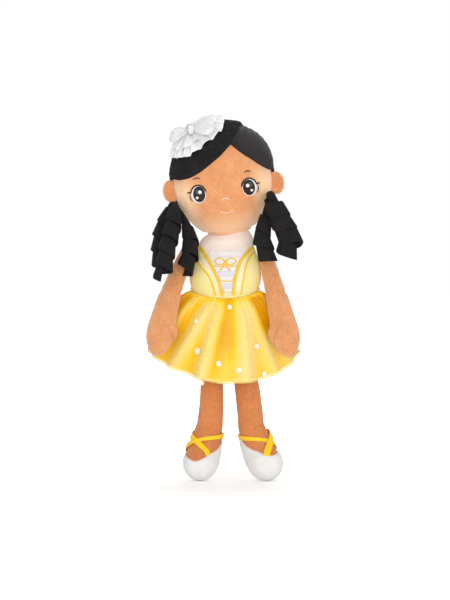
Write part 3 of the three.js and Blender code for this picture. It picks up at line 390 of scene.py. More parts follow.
class Surface(Enum):
    """Kinds of cloth that the doll is sewn from."""

    PLUSH = "plush"
    KNIT = "knit"
    SATIN = "satin"
    STITCH = "stitch"
    FELT = "felt"
    SHEER = "sheer"


@dataclass(frozen=True)
class Finish:
    """A cloth's look: its kind, two tones that it varies between, its gloss, and two tones of painted shade and
    painted highlight.
    """

    name: str
    kind: Surface
    tone: tuple[float, float, float]
    shade: tuple[float, float, float]
    roughness: float = 0.9
    sheen: float = 0.0
    detail: float = 1.0
    alpha: tuple[float, float] = (1.0, 1.0)
    metallic: float = 0.0
    bump: float = 0.5
    gloss: float = 0.35
    nap: tuple[float, float, float] | None = None
    # Painted shade and painted highlight: the tones at both ends of the value kept in a second UV map.
    folds: tuple[tuple[float, float, float], tuple[float, float, float]] | None = None


def linear(rgb: Sequence[float]) -> tuple[float, float, float, float]:
    """An sRGB colour of 0 to 255 as linear RGBA."""
    c = np.array(rgb, float) / 255
    return (*np.where(c <= 0.04045, c / 12.92, ((c + 0.055) / 1.055) ** 2.4).tolist(), 1.0)


class Shader:
    """Builds node trees with short calls."""

    def __init__(self, tree: bpy.types.NodeTree) -> None:
        """Keeps the tree that the nodes go into."""
        self.tree = tree

    def node(self, kind: str, inputs: dict | None = None, **settings: object) -> bpy.types.Node:
        """A node with its settings; an input is a value, or an output socket to link."""
        made = self.tree.nodes.new(kind)
        for key, value in settings.items():
            setattr(made, key, value)
        for key, value in (inputs or {}).items():
            if isinstance(value, bpy.types.NodeSocket):
                self.tree.links.new(value, made.inputs[key])
            else:
                made.inputs[key].default_value = value
        return made

    def math(self, operation: str, a: object, b: object = 0.0) -> bpy.types.NodeSocket:
        """A Math node's result."""
        return self.node("ShaderNodeMath", {0: a, 1: b}, operation=operation).outputs[0]

    def mix(self, factor: object, a: object, b: object) -> bpy.types.NodeSocket:
        """A colour between two, by a mask."""
        made = self.node("ShaderNodeMix", {0: factor, 6: a, 7: b}, data_type="RGBA")
        return made.outputs[2]

    def noise(self, where: object, scale: float, detail: float = 3.0) -> bpy.types.NodeSocket:
        """Noise at a scale, as a mask from 0 to 1."""
        made = self.node("ShaderNodeTexNoise", {"Vector": where, "Scale": scale, "Detail": detail})
        return made.outputs[0]


class Groups:
    """Node groups that several cloths share."""

    made: dict[str, bpy.types.NodeTree] = {}

    @classmethod
    def start(cls, name: str, inputs: dict[str, float], outputs: Sequence[str]) -> tuple:
        """A new group with float inputs and outputs.

        Returns:
            The shader helper, the inputs' sockets by name and the group's output node.
        """
        tree = bpy.data.node_groups.new(name, "ShaderNodeTree")
        for key, value in inputs.items():
            socket = tree.interface.new_socket(key, in_out="INPUT", socket_type="NodeSocketFloat")
            socket.default_value = value
        for key in outputs:
            tree.interface.new_socket(key, in_out="OUTPUT", socket_type="NodeSocketFloat")
        shader = Shader(tree)
        entry = shader.node("NodeGroupInput")
        end = shader.node("NodeGroupOutput")
        cls.made[name] = tree
        return shader, entry.outputs, end

    @classmethod
    def pile(cls) -> bpy.types.NodeTree:
        """Short pile: a fine grain for the height, and slow mottling where the nap lies over."""
        if "pile" not in cls.made:
            s, entry, end = cls.start("pile", {"Grain": 1500.0, "Nap": 90.0}, ("Height", "Mottle"))
            where = s.node("ShaderNodeTexCoord").outputs["Object"]
            grain = s.noise(where, entry["Grain"], 2.0)
            tuft = s.noise(where, s.math("MULTIPLY", entry["Grain"], 0.33), 2.0)
            nap = s.noise(where, entry["Nap"], 4.0)
            s.tree.links.new(s.math("ADD", s.math("MULTIPLY", grain, 0.6), tuft), end.inputs["Height"])
            soft = s.node("ShaderNodeMapRange", {0: nap, 1: 0.3, 2: 0.7}).outputs[0]
            speck = s.node("ShaderNodeMapRange", {0: tuft, 1: 0.35, 2: 0.65}).outputs[0]
            mottle = s.math("ADD", s.math("MULTIPLY", soft, 0.55), s.math("MULTIPLY", speck, 0.45))
            s.tree.links.new(mottle, end.inputs["Mottle"])
        return cls.made["pile"]

    @classmethod
    def weave(cls) -> bpy.types.NodeTree:
        """Woven cloth on its own UV map: crossed threads for the height, and slubs for the tone."""
        if "weave" not in cls.made:
            s, entry, end = cls.start("weave", {"Threads": 900.0}, ("Height", "Tone"))
            where = s.node("ShaderNodeTexCoord").outputs["UV"]
            waves = [
                s.node(
                    "ShaderNodeTexWave",
                    {"Vector": where, "Scale": entry["Threads"], "Distortion": 0.6, "Detail Scale": 2.0},
                    bands_direction=way,
                ).outputs[1]
                for way in ("X", "Y")
            ]
            s.tree.links.new(s.math("MULTIPLY", waves[0], waves[1]), end.inputs["Height"])
            slub = s.noise(where, s.math("MULTIPLY", entry["Threads"], 0.12), 3.0)
            s.tree.links.new(slub, end.inputs["Tone"])
        return cls.made["weave"]

    @classmethod
    def stitches(cls) -> bpy.types.NodeTree:
        """Satin stitch: parallel threads across the shape, with the odd one lying darker."""
        if "stitches" not in cls.made:
            s, entry, end = cls.start("stitches", {"Threads": 700.0}, ("Height", "Tone"))
            where = s.node("ShaderNodeTexCoord").outputs["Object"]
            thread = s.node(
                "ShaderNodeTexWave",
                {"Vector": where, "Scale": entry["Threads"], "Distortion": 1.2, "Detail Scale": 1.5},
                bands_direction="DIAGONAL",
            ).outputs[1]
            s.tree.links.new(thread, end.inputs["Height"])
            s.tree.links.new(s.noise(where, entry["Threads"], 2.0), end.inputs["Tone"])
        return cls.made["stitches"]


class Cloths:
    """The doll's materials, one for each finish."""

    made: dict[str, bpy.types.Material] = {}

    @classmethod
    def of(cls, finish: Finish) -> bpy.types.Material:
        """The material of a finish, built once."""
        if finish.name not in cls.made:
            cls.made[finish.name] = cls.build(finish)
        return cls.made[finish.name]

    @staticmethod
    def build(finish: Finish) -> bpy.types.Material:
        """Colour from two tones by the cloth's own mask, with painted shade and highlight mixed in, height to a
        bump, and its gloss.
        """
        material = bpy.data.materials.new(finish.name)
        material.use_nodes = True
        s = Shader(material.node_tree)
        bsdf = material.node_tree.nodes["Principled BSDF"]
        group = {
            Surface.PLUSH: Groups.pile,
            Surface.FELT: Groups.pile,
            Surface.KNIT: Groups.weave,
            Surface.SATIN: Groups.weave,
            Surface.SHEER: Groups.weave,
            Surface.STITCH: Groups.stitches,
        }[finish.kind]()
        cloth = s.node("ShaderNodeGroup", node_tree=group)
        if finish.kind in (Surface.PLUSH, Surface.FELT):
            cloth.inputs["Grain"].default_value = 1500.0 * finish.detail
            mask = cloth.outputs["Mottle"]
        else:
            cloth.inputs["Threads"].default_value = 800.0 * finish.detail
            mask = cloth.outputs["Tone"]
        colour = s.mix(mask, linear(finish.shade), linear(finish.tone))
        # Painted light from the second UV map: below a half it mixes in the painted shade tone, above a half the
        # painted highlight tone; on sheer cloth it also thickens the cover.
        if finish.folds:
            where = s.node("ShaderNodeUVMap", uv_map="folds").outputs[0]
            rise = s.node("ShaderNodeSeparateXYZ", {0: where}).outputs[0]
            low = s.node("ShaderNodeMapRange", {0: rise, 1: 0.0, 2: 0.5}).outputs[0]
            high = s.node("ShaderNodeMapRange", {0: rise, 1: 0.5, 2: 1.0}).outputs[0]
            colour = s.mix(high, s.mix(low, linear(finish.folds[0]), colour), linear(finish.folds[1]))
            mask = s.math("ADD", s.math("MULTIPLY", mask, 0.2), s.math("MULTIPLY", rise, 0.6))
        s.tree.links.new(colour, bsdf.inputs["Base Color"])
        bump = s.node("ShaderNodeBump", {"Height": cloth.outputs["Height"], "Strength": finish.bump,
                                         "Distance": 0.0006})
        s.tree.links.new(bump.outputs[0], bsdf.inputs["Normal"])
        bsdf.inputs["Roughness"].default_value = finish.roughness
        bsdf.inputs["Metallic"].default_value = finish.metallic
        bsdf.inputs["Sheen Weight"].default_value = finish.sheen
        bsdf.inputs["Sheen Roughness"].default_value = 0.6 if finish.kind is Surface.PLUSH else 0.4
        bsdf.inputs["Sheen Tint"].default_value = linear(finish.nap or finish.tone)
        bsdf.inputs["Specular IOR Level"].default_value = finish.gloss
        if finish.kind is Surface.SHEER:
            cover = s.node(
                "ShaderNodeMapRange", {0: mask, 1: 0.3, 2: 0.7, 3: finish.alpha[0], 4: finish.alpha[1]}
            )
            s.tree.links.new(cover.outputs[0], bsdf.inputs["Alpha"])
        return material


BODY_PLUSH = Finish("body plush", Surface.PLUSH, (226, 158, 104), (199, 125, 73), 0.95, 0.8,
                    nap=(255, 234, 214))
LEG_PLUSH = Finish("leg plush", Surface.PLUSH, (216, 138, 82), (194, 112, 58), 0.95, 0.4,
                   nap=(255, 220, 190))
FACE_PLUSH = Finish("face plush", Surface.PLUSH, (229, 158, 101), (207, 130, 74), 0.95, 1.0,
                    nap=(255, 240, 224))
# The head's paler tone is painted light, low on the face and beside the cheeks.
HEAD_PLUSH = replace(FACE_PLUSH, name="head plush", folds=((200, 122, 68), (255, 206, 156)))
HAIR_PLUSH = Finish("hair plush", Surface.PLUSH, (34, 31, 31), (9, 8, 9), 1.0, 0.06, 0.8, bump=0.9)
HAIR_SATIN = Finish("hair cloth", Surface.SATIN, (44, 39, 38), (27, 24, 24), 0.55, 0.05, 1.3)
RINGLET_FELT = Finish("ringlet felt", Surface.FELT, (27, 24, 23), (8, 7, 7), 0.9, 0.02, 1.2)
BODICE = Finish("bodice cloth", Surface.KNIT, (255, 242, 172), (253, 232, 150), 0.8, 0.15)
GORE = Finish("bodice gore", Surface.KNIT, (254, 243, 205), (250, 234, 186), 0.7, 0.1)
YOKE = Finish("yoke cloth", Surface.KNIT, (255, 240, 229), (252, 228, 214), 0.85, 0.15)
WHITE_SATIN = Finish("white satin", Surface.SATIN, (250, 244, 240), (234, 226, 226), 0.4, 0.1)
LILAC_SATIN = Finish("lilac satin", Surface.SATIN, (232, 226, 238), (212, 205, 222), 0.4, 0.1)
# The skirt's two fold tones are painted shade in the valleys and a painted highlight on the ridges.
SKIRT_SATIN = Finish(
    "skirt satin", Surface.SATIN, (255, 210, 26), (252, 204, 18), 0.36, 0.03, 1.4, bump=0.05, gloss=0.2,
    folds=((222, 152, 0), (255, 233, 134)),
)
SKIRT_SHEER = Finish(
    "skirt organza", Surface.SHEER, (255, 236, 140), (255, 232, 126), 0.34, 0.03, 2.4,
    alpha=(0.03, 0.5), bump=0.05, gloss=0.2, folds=((246, 196, 8), (255, 238, 160)),
)
HEM_SATIN = Finish("hem satin", Surface.SATIN, (255, 222, 84), (252, 210, 60), 0.4, 0.05, 1.4, bump=0.1)
HEM_SHEER = Finish("hem organza", Surface.SHEER, (255, 230, 124), (250, 214, 90), 0.4, 0.1, 2.0,
                   alpha=(0.7, 0.95))
RIBBON = Finish("ribbon satin", Surface.SATIN, (255, 209, 26), (250, 196, 8), 0.35, 0.1, 1.2, bump=0.2)
BRAID = Finish("yellow thread", Surface.STITCH, (255, 214, 58), (246, 194, 30), 0.5, 0.2)
DARK_THREAD = Finish("dark thread", Surface.STITCH, (58, 34, 26), (22, 14, 13), 0.45, 0.1)
GREY_THREAD = Finish("grey thread", Surface.STITCH, (96, 100, 104), (48, 50, 54), 0.45, 0.1)
WHITE_THREAD = Finish("white thread", Surface.STITCH, (255, 255, 255), (238, 238, 240), 0.5, 0.1)
PEACH_THREAD = Finish("peach thread", Surface.STITCH, (255, 220, 190), (250, 205, 170), 0.55, 0.1)
SHOE_SATIN = Finish("shoe satin", Surface.SATIN, (252, 250, 247), (234, 232, 230), 0.42, 0.15, 1.2)
PINK_PIPING = Finish("pink piping", Surface.SATIN, (246, 214, 208), (236, 196, 190), 0.5, 0.1)
TULLE = Finish("bow tulle", Surface.SHEER, (255, 255, 255), (248, 248, 250), 0.45, 0.7, 1.0, alpha=(0.7, 1.0))
TULLE_LOOP = Finish("loop tulle", Surface.SHEER, (255, 255, 255), (248, 249, 251), 0.4, 0.6, 1.2,
                    alpha=(0.5, 0.95))
GLITTER = Finish("glitter band", Surface.SATIN, (244, 246, 250), (150, 156, 170), 0.25, 0.0, 3.0,
                 metallic=0.7)
FOIL_DOT = Finish("foil dots", Surface.SATIN, (255, 254, 246), (255, 248, 222), 0.35, 0.2, 2.0)


@dataclass(frozen=True)
class Bend:
    """Two bodies and the places between which a piece would pass from the first to the second."""

    first: str
    second: str
    start: Array
    end: Array


def dress(obj: bpy.types.Object, finish: Finish, body: str | Bend, nodes: Sequence[str] = ()) -> bpy.types.Object:
    """Gives a piece its material and its body, or for a bend only bakes it in place, and hides the nodes that it
    stands for.

    Args:
        obj: the piece.
        finish: its cloth.
        body: the body that it rides on, or a bend between two bodies, for which the piece is only baked in place.
        nodes: the frame's nodes that it replaces.
    Returns:
        The piece.
    """
    obj.data.materials.append(Cloths.of(finish))
    if isinstance(body, Bend):
        tuple(body.start * MM)
        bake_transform(obj)
    else:
        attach(obj, body)
    if nodes:
        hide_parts(*nodes)
    rides = body if isinstance(body, str) else f"{body.first} and {body.second}"
    LOG.info("%s: %d vertices, rides on %s", obj.name, len(obj.data.vertices), rides)
    return obj


def laid(obj: bpy.types.Object) -> bpy.types.Object:
    """Returns a piece of cloth unchanged."""
    return obj


# Sub-assemblies

@dataclass
class Torso:
    """The stuffed torso in its bodice, with braid, lace, lacing and an embroidered bow."""

    seat_depth: float = 23
    bodice_length: float = 61
    waist_wide: float = 32
    neck_shift: float = 2.5
    neck_gap: float = 6
    neck_radius: float = 12
    ball_radius: float = 13.4
    trim_wide: float = 2.6
    trim_narrow: float = 1.3
    trim_top: float = 0.86
    neckline: float = 0.865
    post_drop: float = 14
    post_top: float = -5.5

    def __post_init__(self) -> None:
        """Works out the form and its place from the neck's pivot."""
        self.rim = self.seat_depth + self.bodice_length
        self.place = Placement(pivot("neck_tilt") - np.array([self.neck_shift, 0, self.rim + self.neck_gap]))
        rise = 23
        above = self.bodice_length - rise
        self.form = Stuffed(
            stations=[(0, 30, 21.5), (7, 30, 21.5), (self.seat_depth, self.waist_wide, 21.5),
                      (self.seat_depth + rise, 36.5, 24), (self.seat_depth + 42, 32.2, 22),
                      (self.seat_depth + 55, 27, 18), (self.rim - 3.4, 24.8, 17.2),
                      (self.rim - 1.4, 20.3, 15.9), (self.rim, 13.7, 13.7)],
            start_round=8, end_round=0, upright=True,
            spine=lambda d: stack(
                self.neck_shift * np.clip((d - self.seat_depth - rise) / above, 0, 9) ** 3, 0 * d, d),
        )
        self.trims = {
            ("wide", "left"): [(-0.93, 0.86), (-0.67, 0.74), (-0.44, 0.59), (-0.2, 0.32), (-0.09, 0.1)],
            ("wide", "right"): [(0.93, 0.86), (0.66, 0.75), (0.43, 0.6), (0.27, 0.32), (0.25, 0.1)],
            ("narrow", "left"): [(-0.93, 0.7), (-0.66, 0.52), (-0.42, 0.35), (-0.29, 0.11)],
            ("narrow", "right"): [(0.93, 0.78), (0.68, 0.64), (0.52, 0.42), (0.46, 0.12)],
        }

    def on(self, s: Array, t: Array, height: Array) -> Array:
        """Place on the bodice: millimetres across at the waist's width, and above the waist."""
        return self.place(self.form.front(self.seat_depth + t, s / self.waist_wide, height))

    def share(self, kind: str, side: str, up: Array) -> Array:
        """Share across of a line of braid at a height share."""
        upwards = [(h, w) for w, h in reversed(self.trims[kind, side])]
        return smooth(upwards, up, 1)

    def panel(self, name: str, low: float, high: float, left: Callable, right: Callable, lift: float,
              finish: Finish, flat: tuple[float, float], nodes: Sequence[str] = ()) -> bpy.types.Object:
        """A flat piece between two lines across the bodice, raised in a low pillow."""
        up = np.linspace(low, high, 40)[:, None]
        q = np.linspace(0, 1, 40)[None, :]
        across = left(up) + (right(up) - left(up)) * q
        edge = np.clip(np.minimum(np.minimum(q, 1 - q) / 0.06, np.minimum(up - low, high - up) / 0.03), 0, 1)
        points = self.on(across * self.waist_wide, up * self.bodice_length, 0.15 + lift * np.sqrt(edge))
        obj = Mesh.grid(name, points, round_=False, poles=(False, False), cloth=(0.04, 0.05))
        dress(obj, finish, "torso", nodes)
        return laid(obj)

    def build(self) -> None:
        """Makes every piece of the torso."""
        d = np.concatenate([
            self.form.start + 12 * (1 - np.cos(np.linspace(0, math.pi / 2, 16))),
            np.linspace(13, self.rim - 8, 60),
            np.linspace(self.rim - 7, self.rim - 3.4, 14),
        ])[:, None]
        angle = turns(160)[None, :]
        pucker = 0.25 * ripple(d, 30 * angle, 26, 0.4) * np.clip((self.rim - d) / 10, 0, 1)
        skin = Mesh.grid("torso_skin", self.place(self.form.at(d, angle, pucker)), cloth=(0.2, 0.09))
        dress(skin, BODICE, "torso", ["torso_cover", "torso_stuffing"])
        self.second_cloth(skin, YOKE, self.seat_depth + self.neckline * self.bodice_length)
        self.collar()
        self.neck()
        inset, tuck = 0.05, 0.02
        self.panel("stomacher_panel", 0.07, 0.735,
                   lambda up: self.share("wide", "left", up) + inset,
                   lambda up: self.share("wide", "right", up) - inset,
                   0.7, WHITE_SATIN, (0.03, 0.041), ["stomacher"])
        self.panel("chest_panel", 0.72, 0.9,
                   lambda up: self.share("wide", "left", np.minimum(up, self.trim_top)) + tuck,
                   lambda up: self.share("wide", "right", np.minimum(up, self.trim_top)) - tuck,
                   0.35, YOKE, (0.06, 0.012), ["chest_yoke"])
        for side in SIDES:
            wide, narrow = (
                [(w * self.waist_wide, (h if h > 0.2 else 0.045) * self.bodice_length)
                 for w, h in self.trims[kind, side]]
                for kind in ("wide", "narrow")
            )
            for kind, path, width in (("wide", wide, self.trim_wide), ("narrow", narrow, self.trim_narrow)):
                obj = Mesh.braid(f"braid_{kind}_{side}", self.on, path, width, -0.2, 1.5)
                dress(obj, BRAID, "torso", [f"trim_{kind}_{side}"])
            edges = (("wide", "narrow") if side == "right" else ("narrow", "wide"))
            self.panel(f"gore_{side}", 0.1, 0.66,
                       lambda up, e=edges[0], k=side: self.share(e, k, up),
                       lambda up, e=edges[1], k=side: self.share(e, k, up), 0.3, GORE, (0.014, 0.036))
        self.lace()
        self.bow()
        self.piping()
        self.seams()

    def neck(self) -> None:
        """The stuffed post under the head: straight sides, and a ball's top about the neck's pivot."""
        z = -self.post_drop + np.linspace(0, 1, 40)[:, None] * (self.post_drop + self.ball_radius)
        ball = np.sqrt(np.clip(self.ball_radius**2 - z**2, 0, None))
        radius = np.where(z < self.post_top, self.neck_radius, ball)
        angle = turns(48)
        post = pivot("neck_tilt") + stack(radius * np.cos(angle), radius * np.sin(angle), z)
        dress(Mesh.grid("neck", post), BODY_PLUSH, "torso", ["neck_stump"])

    def second_cloth(self, skin: bpy.types.Object, finish: Finish, above: float) -> None:
        """Gives the skin's faces above a height another cloth."""
        skin.data.materials.append(Cloths.of(finish))
        centres = np.empty(len(skin.data.polygons) * 3)
        skin.data.polygons.foreach_get("center", centres)
        upper = centres.reshape(-1, 3)[:, 2] / MM > self.place.origin[2] + above
        skin.data.polygons.foreach_set("material_index", upper.astype(np.int32))

    def collar(self) -> None:
        """The chest's cloth drawn up to the head: a soft ring over the neck."""
        rise = np.linspace(0, 1, 30)[:, None]
        angle = turns(120)[None, :]
        foot = self.form.at(np.array([[self.rim - 7.0]]), angle, -0.5)
        ring = stack(np.cos(angle), -np.sin(angle), 0 * angle) * np.array([20.0, 14.2, 0.0])
        up = 3.5 + 2.9 * np.cos(angle) ** 2 + 0.14 * ring[..., 0]
        top = ring + stack(self.neck_shift + 0 * angle, 0 * angle, self.rim + up)
        bulge = 2.6 * np.sin(math.pi * rise**0.8)[..., None] * unit(ring)
        outer = foot + (top - foot) * rise[..., None] + bulge
        inner = outer[::-1] - 1.4 * unit(ring)
        points = self.place(np.concatenate([outer, inner]))
        obj = Mesh.grid("collar", points, poles=(False, False), ring=True, cloth=(0.13, 0.025))
        neck = pivot("neck_tilt")
        bend = Bend("torso", "head", neck - np.array([0, 0, 9.0]), neck + np.array([0, 0, 1.0]))
        dress(obj, YOKE, bend)

    def lace(self) -> None:
        """Scalloped lace at the top of the panel, and lacing across it."""
        p = np.linspace(0, 1, 181)[None, :]
        q = np.linspace(0, 1, 12)[:, None]
        scallop = np.abs(np.sin(math.pi * 5 * p))
        up = 0.7 * self.bodice_length + (3.3 + 2.7 * scallop) * q
        ribs = 0.12 * np.abs(np.sin(math.pi * 30 * p)) + 0.25 * (q > 0.85)
        points = self.on((-0.52 + 1.04 * p) * self.waist_wide, up, 1.7 + ribs)
        obj = Mesh.grid("lace", points, round_=False, poles=(False, False), cloth=(0.04, 0.006))
        Mesh.thicken(obj, 0.7)
        dress(obj, WHITE_SATIN, "torso", ["lace_edge"])
        laid(obj)
        for i, up in enumerate((0.535, 0.3, 0.115)):
            path = self.crossing(up, 1, 0.6, -0.3)
            dress(Mesh.braid(f"lacing_{i}", self.on, path, 0.9, 0.7, 1.6), BRAID, "torso")
        for i, up in enumerate((0.42, 0.21)):
            path = self.crossing(up, 0.4, 0.4, 0)
            dress(Mesh.braid(f"lilac_bar_{i}", self.on, path, 5.4, 0.5, 1.15), LILAC_SATIN, "torso")

    def crossing(self, up: float, inset: float, ends: float, middle: float) -> list[tuple[float, float]]:
        """A path across the panel at a height share, from braid to braid.

        Args:
            up: share of the bodice's length.
            inset: how far inside the braid the path starts and ends.
            ends: how much higher its ends lie.
            middle: how much higher its middle lies.
        """
        left, right = (self.share("wide", s, np.array([up]))[0] * self.waist_wide for s in SIDES)
        h = up * self.bodice_length
        return [(left + inset, h + ends), ((left + right) / 2, h + middle), (right - inset, h + ends)]

    def bow(self) -> None:
        """The embroidered bow: outlined loops, two tails and a knot."""
        middle, thread = 0.6 * self.bodice_length, 1.2
        places = [(5.2 - 4.6 * math.cos(a), 3.2 * math.sin(a)) for a in np.linspace(0, TAU, 24)]
        parts = []
        for way in (-1, 1):
            loop = [(way * out, middle + 0.4 + up + 0.12 * out) for out, up in places]
            parts.append(Mesh.braid("loop", self.on, loop, thread, 0.8, 1.9, 90))
            tail = [(0.0, middle), (way * 1.6, middle - 4), (way * 4.4, middle - 8)]
            parts.append(Mesh.braid("tail", self.on, tail, thread, 0.8, 1.9, 30))
        parts.append(Mesh.lens("knot", self.on, (0, middle + 0.3), (1.6, 1.6), 0.7, 2.3, 20))
        dress(Mesh.joined("embroidered_bow", parts), BRAID, "torso", ["bodice_bow"])

    def seams(self) -> None:
        """Stitched seams down the middle of the bodice's back and down its sides."""
        d = np.linspace(self.seat_depth + 3, self.rim - 9, 60)
        for name, half_turns in (("back", -0.5), ("left", -0.9), ("right", -0.1)):
            line = self.place(self.form.at(d, np.full(60, half_turns * math.pi), 0.1))
            dress(Mesh.tube(f"bodice_seam_{name}", line, 0.42, sides=8, cloth=(0.003, 0.05)), GORE, "torso")

    def piping(self) -> None:
        """Yellow piping along the waist seam."""
        turn = turns(200)
        height = self.seat_depth + 7 * np.cos(turn) ** 2 + 2.2
        line = self.place(self.form.grown(0.7).at(height, turn))
        dress(Mesh.tube("waist_seam_piping", line, 0.75, closed=True), BODICE, "torso", ["waist_piping"])


@dataclass
class Skirt:
    """Two layers of gathered skirt: satin below, sheer with foil dots above.

    A front dot is its place across and up as it is seen, and its half-width. A fold is its degrees at
    the waist and at the hem, its height and its half-width in degrees; its height also sets the painted
    highlight on the ridges. A valley of painted shade is the same with its depth of painted shade for a
    height, and then the shares of the way down between which it shows.
    """

    torso: Torso
    hem_half_wide: float = 77
    hem_front: float = 43
    hem_set_back: float = 5
    hem_shift: float = -1.8
    hem_drop: float = 83
    hem_rise: float = 37
    hem_lens: float = 2.2
    seam_rise: float = 7
    front_dots: tuple = (
        (5.3, 176, 2.4), (-27.2, 162, 2.2), (-25.2, 131.5, 3.7), (-6.2, 120.3, 2.9), (15.8, 113, 2.8),
        (39.8, 109, 2.7), (31.8, 137, 2.9), (-24.5, 101, 2.7),
    )
    folds: tuple = (
        (-46, -62, 4.5, 7), (-17, -41, 6.5, 6.5), (-6.5, -16.5, 10, 5.5), (22, 17, 9.5, 8), (31, 42, 6, 8),
        (52, 60, 4.5, 7), (105, 102, 4, 8), (130, 126, 4.5, 8), (153, 150, 4.5, 8), (176, 174, 4.5, 8),
        (200, 198, 4.5, 8), (226, 224, 4.5, 8), (252, 254, 4, 8),
    )
    painted_valley_shade: tuple = (
        (5, 3, 0.62, 12.5, -0.05, 0.86), (-1, -10, 0.35, 7, 0.3, 1.15), (49, 41, 1.5, 12, 0.02, 0.66),
        (-60, -50, 0.85, 10, 0.02, 0.5), (78, 64, 0.9, 8, 0.0, 0.7), (-84, -70, 0.9, 8, 0.0, 0.7),
        (-10, -27, 0.2, 4.5, 0.15, 1.3), (-32, -54, 0.3, 6, 0.1, 1.2), (117, 115, 0.7, 8, 0, 1),
        (141, 138, 0.7, 7, 0, 1), (164, 162, 0.7, 7, 0, 1), (188, 186, 0.7, 7, 0, 1),
        (213, 211, 0.7, 7, 0, 1), (239, 239, 0.7, 8, 0, 1),
    )

    @staticmethod
    def degrees_from(turn: Array, share: Array, waist: float, hem: float) -> Array:
        """Degrees from a line that runs from its place at the waist to its place at the hem."""
        return (360 * turn - (waist + (hem - waist) * share) + 540) % 360 - 180

    def fold(self, turn: Array, share: Array) -> Array:
        """Height of the folds: bell curves whose middles run from the waist's to the hem's place."""
        total = 0 * turn * share
        for waist, hem, height, half in self.folds:
            total = total + height * bell(self.degrees_from(turn, share, waist, hem), half, 1.6)
        return total - 3.2 * share

    def tone(self, turn: Array, share: Array) -> Array:
        """Painted light over the skirt, from 0, painted shade deep in a valley, to 1, a painted highlight on the
        ridges.

        The painted highlight on the ridges comes from each fold's height; the painted shade of a valley is a
        flat-bottomed bell curve that starts and ends at shares of the way down, its middle running from the
        waist's to the hem's place. The hem's very edge is paler.
        """
        painted_ridge_highlight = np.clip((self.fold(turn, share) + 0.5) / 5.5, 0, 1) * np.clip(share * 5, 0.25, 1)
        value = 0.48 + 0.48 * painted_ridge_highlight + 0 * turn
        for waist, hem, depth, half, low, high in self.painted_valley_shade:
            window = np.clip((share - low) / 0.08, 0, 1) * np.clip((high - share) / 0.25, 0, 1)
            away = self.degrees_from(turn, share, waist, hem)
            value = value - depth * 0.55 * bell(away, half, 2.6) * window
        edge = 0.5 * np.clip((share - 0.98) / 0.015, 0, 1)
        return np.clip(value + edge + 0.03 * ripple(300 * turn, 80 * share, 30, 1.0), 0.01, 0.99)

    def gathers(self, turn: Array, share: Array) -> Array:
        """Fine gathers at the waist, fading down: two waves whose phase drifts round the skirt."""
        wave = np.sin(TAU * 66 * turn + 3 * np.sin(TAU * 5 * turn)) + 0.6 * np.sin(TAU * 41 * turn + 1.3)
        return 0.45 * wave * np.exp(-share / 0.1) + 0.07 * wave

    def bare(self, turn: Array, share: Array) -> Array:
        """Bare place on the skirt, in the torso's frame: a mix of the seam and the hem, with folds out."""
        angle = TAU * turn
        seam_height = self.torso.seat_depth + self.seam_rise * np.sin(angle) ** 2
        top = self.torso.form.grown(0.5).at(seam_height, math.pi / 2 - angle)
        from_front = np.abs((turn + 0.5) % 1 - 0.5) * 4
        aside = 1 - np.clip(np.minimum(from_front, 2 - from_front), 0, 1)
        fuller = np.clip(3 * np.sin(angle), 0, 1)
        rise = np.clip(1.0075 - np.sqrt(aside**2 + 0.015), 0, 1) ** (1.2 + 0.8 * fuller)
        rise = self.hem_rise * (1 + 0.06 * fuller) * rise
        depth = np.where(np.cos(angle) < 0, self.hem_front - 2 * self.hem_set_back, self.hem_front)
        depth = depth * np.abs(np.cos(angle)) ** self.hem_lens
        hem = stack(self.hem_shift + self.hem_half_wide * np.sin(angle),
                    self.hem_set_back - np.sign(np.cos(angle)) * depth,
                    self.torso.seat_depth - self.hem_drop + rise)
        sideways, down = (share**0.75)[..., None], (share**1.25)[..., None]
        mix = np.concatenate([top[..., :2] + (hem - top)[..., :2] * sideways,
                              top[..., 2:] + (hem - top)[..., 2:] * down], -1)
        out = self.fold(turn, share) * share**0.8 * 0.9 + self.gathers(turn, share)
        return mix + stack(np.sin(angle), -np.cos(angle), 0 * angle) * out[..., None]

    def at(self, turn: Array, share: Array, height: Array | float) -> Array:
        """Place on the skirt in the doll's frame, raised along the surface normal."""
        turn, share = np.broadcast_arrays(np.asarray(turn, float), np.asarray(share, float))
        low = np.maximum(share, 0.01)
        round_ = self.bare(turn + 0.004, share) - self.bare(turn - 0.004, share)
        down = self.bare(turn, low + 0.01) - self.bare(turn, low - 0.01)
        normal = unit(np.cross(down, round_))
        away = stack(np.sin(TAU * turn), -np.cos(TAU * turn), 0 * turn)
        normal = np.where((normal * away).sum(-1, keepdims=True) < 0, -normal, normal)
        return self.torso.place(self.bare(turn, share) + normal * np.asarray(height)[..., None])

    def squashed(self, obj: bpy.types.Object) -> None:
        """Gives a skirt piece its own copy of its mesh."""
        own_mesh(obj)

    def layer(self, name: str, height: float, drop: float, finish: Finish, node: str, wall: float) -> None:
        """One layer of cloth round the doll, from the waist seam to its hem."""
        share = np.linspace(0, 1 + drop / self.hem_drop, 90)[:, None]
        turn = (np.arange(480) / 480)[None, :]
        opened = 0.15 + 0.85 * np.clip(share * 3, 0, 1)
        points = self.at(turn, share, height * opened + 0.3 * ripple(400 * turn, 90 * share, 38, height))
        obj = Mesh.grid(name, points, poles=(False, False), cloth=(0.42, 0.09))
        # The painted shade of the valleys and the painted highlight of the ridges, kept for the material.
        Mesh.shaded(obj, self.tone(turn, share + 0 * turn))
        Mesh.thicken(obj, wall)
        dress(obj, finish, "torso", [node])
        laid(obj)
        self.squashed(obj)

    def hem(self, name: str, share: float, height: float, finish: Finish) -> None:
        """A rolled, stitched hem along a layer's edge."""
        line = self.at(np.arange(400) / 400, np.full(400, share), height)
        obj = dress(Mesh.tube(name, line, 0.55, closed=True, sides=8, cloth=(0.004, 0.42)), finish, "torso")
        self.squashed(obj)

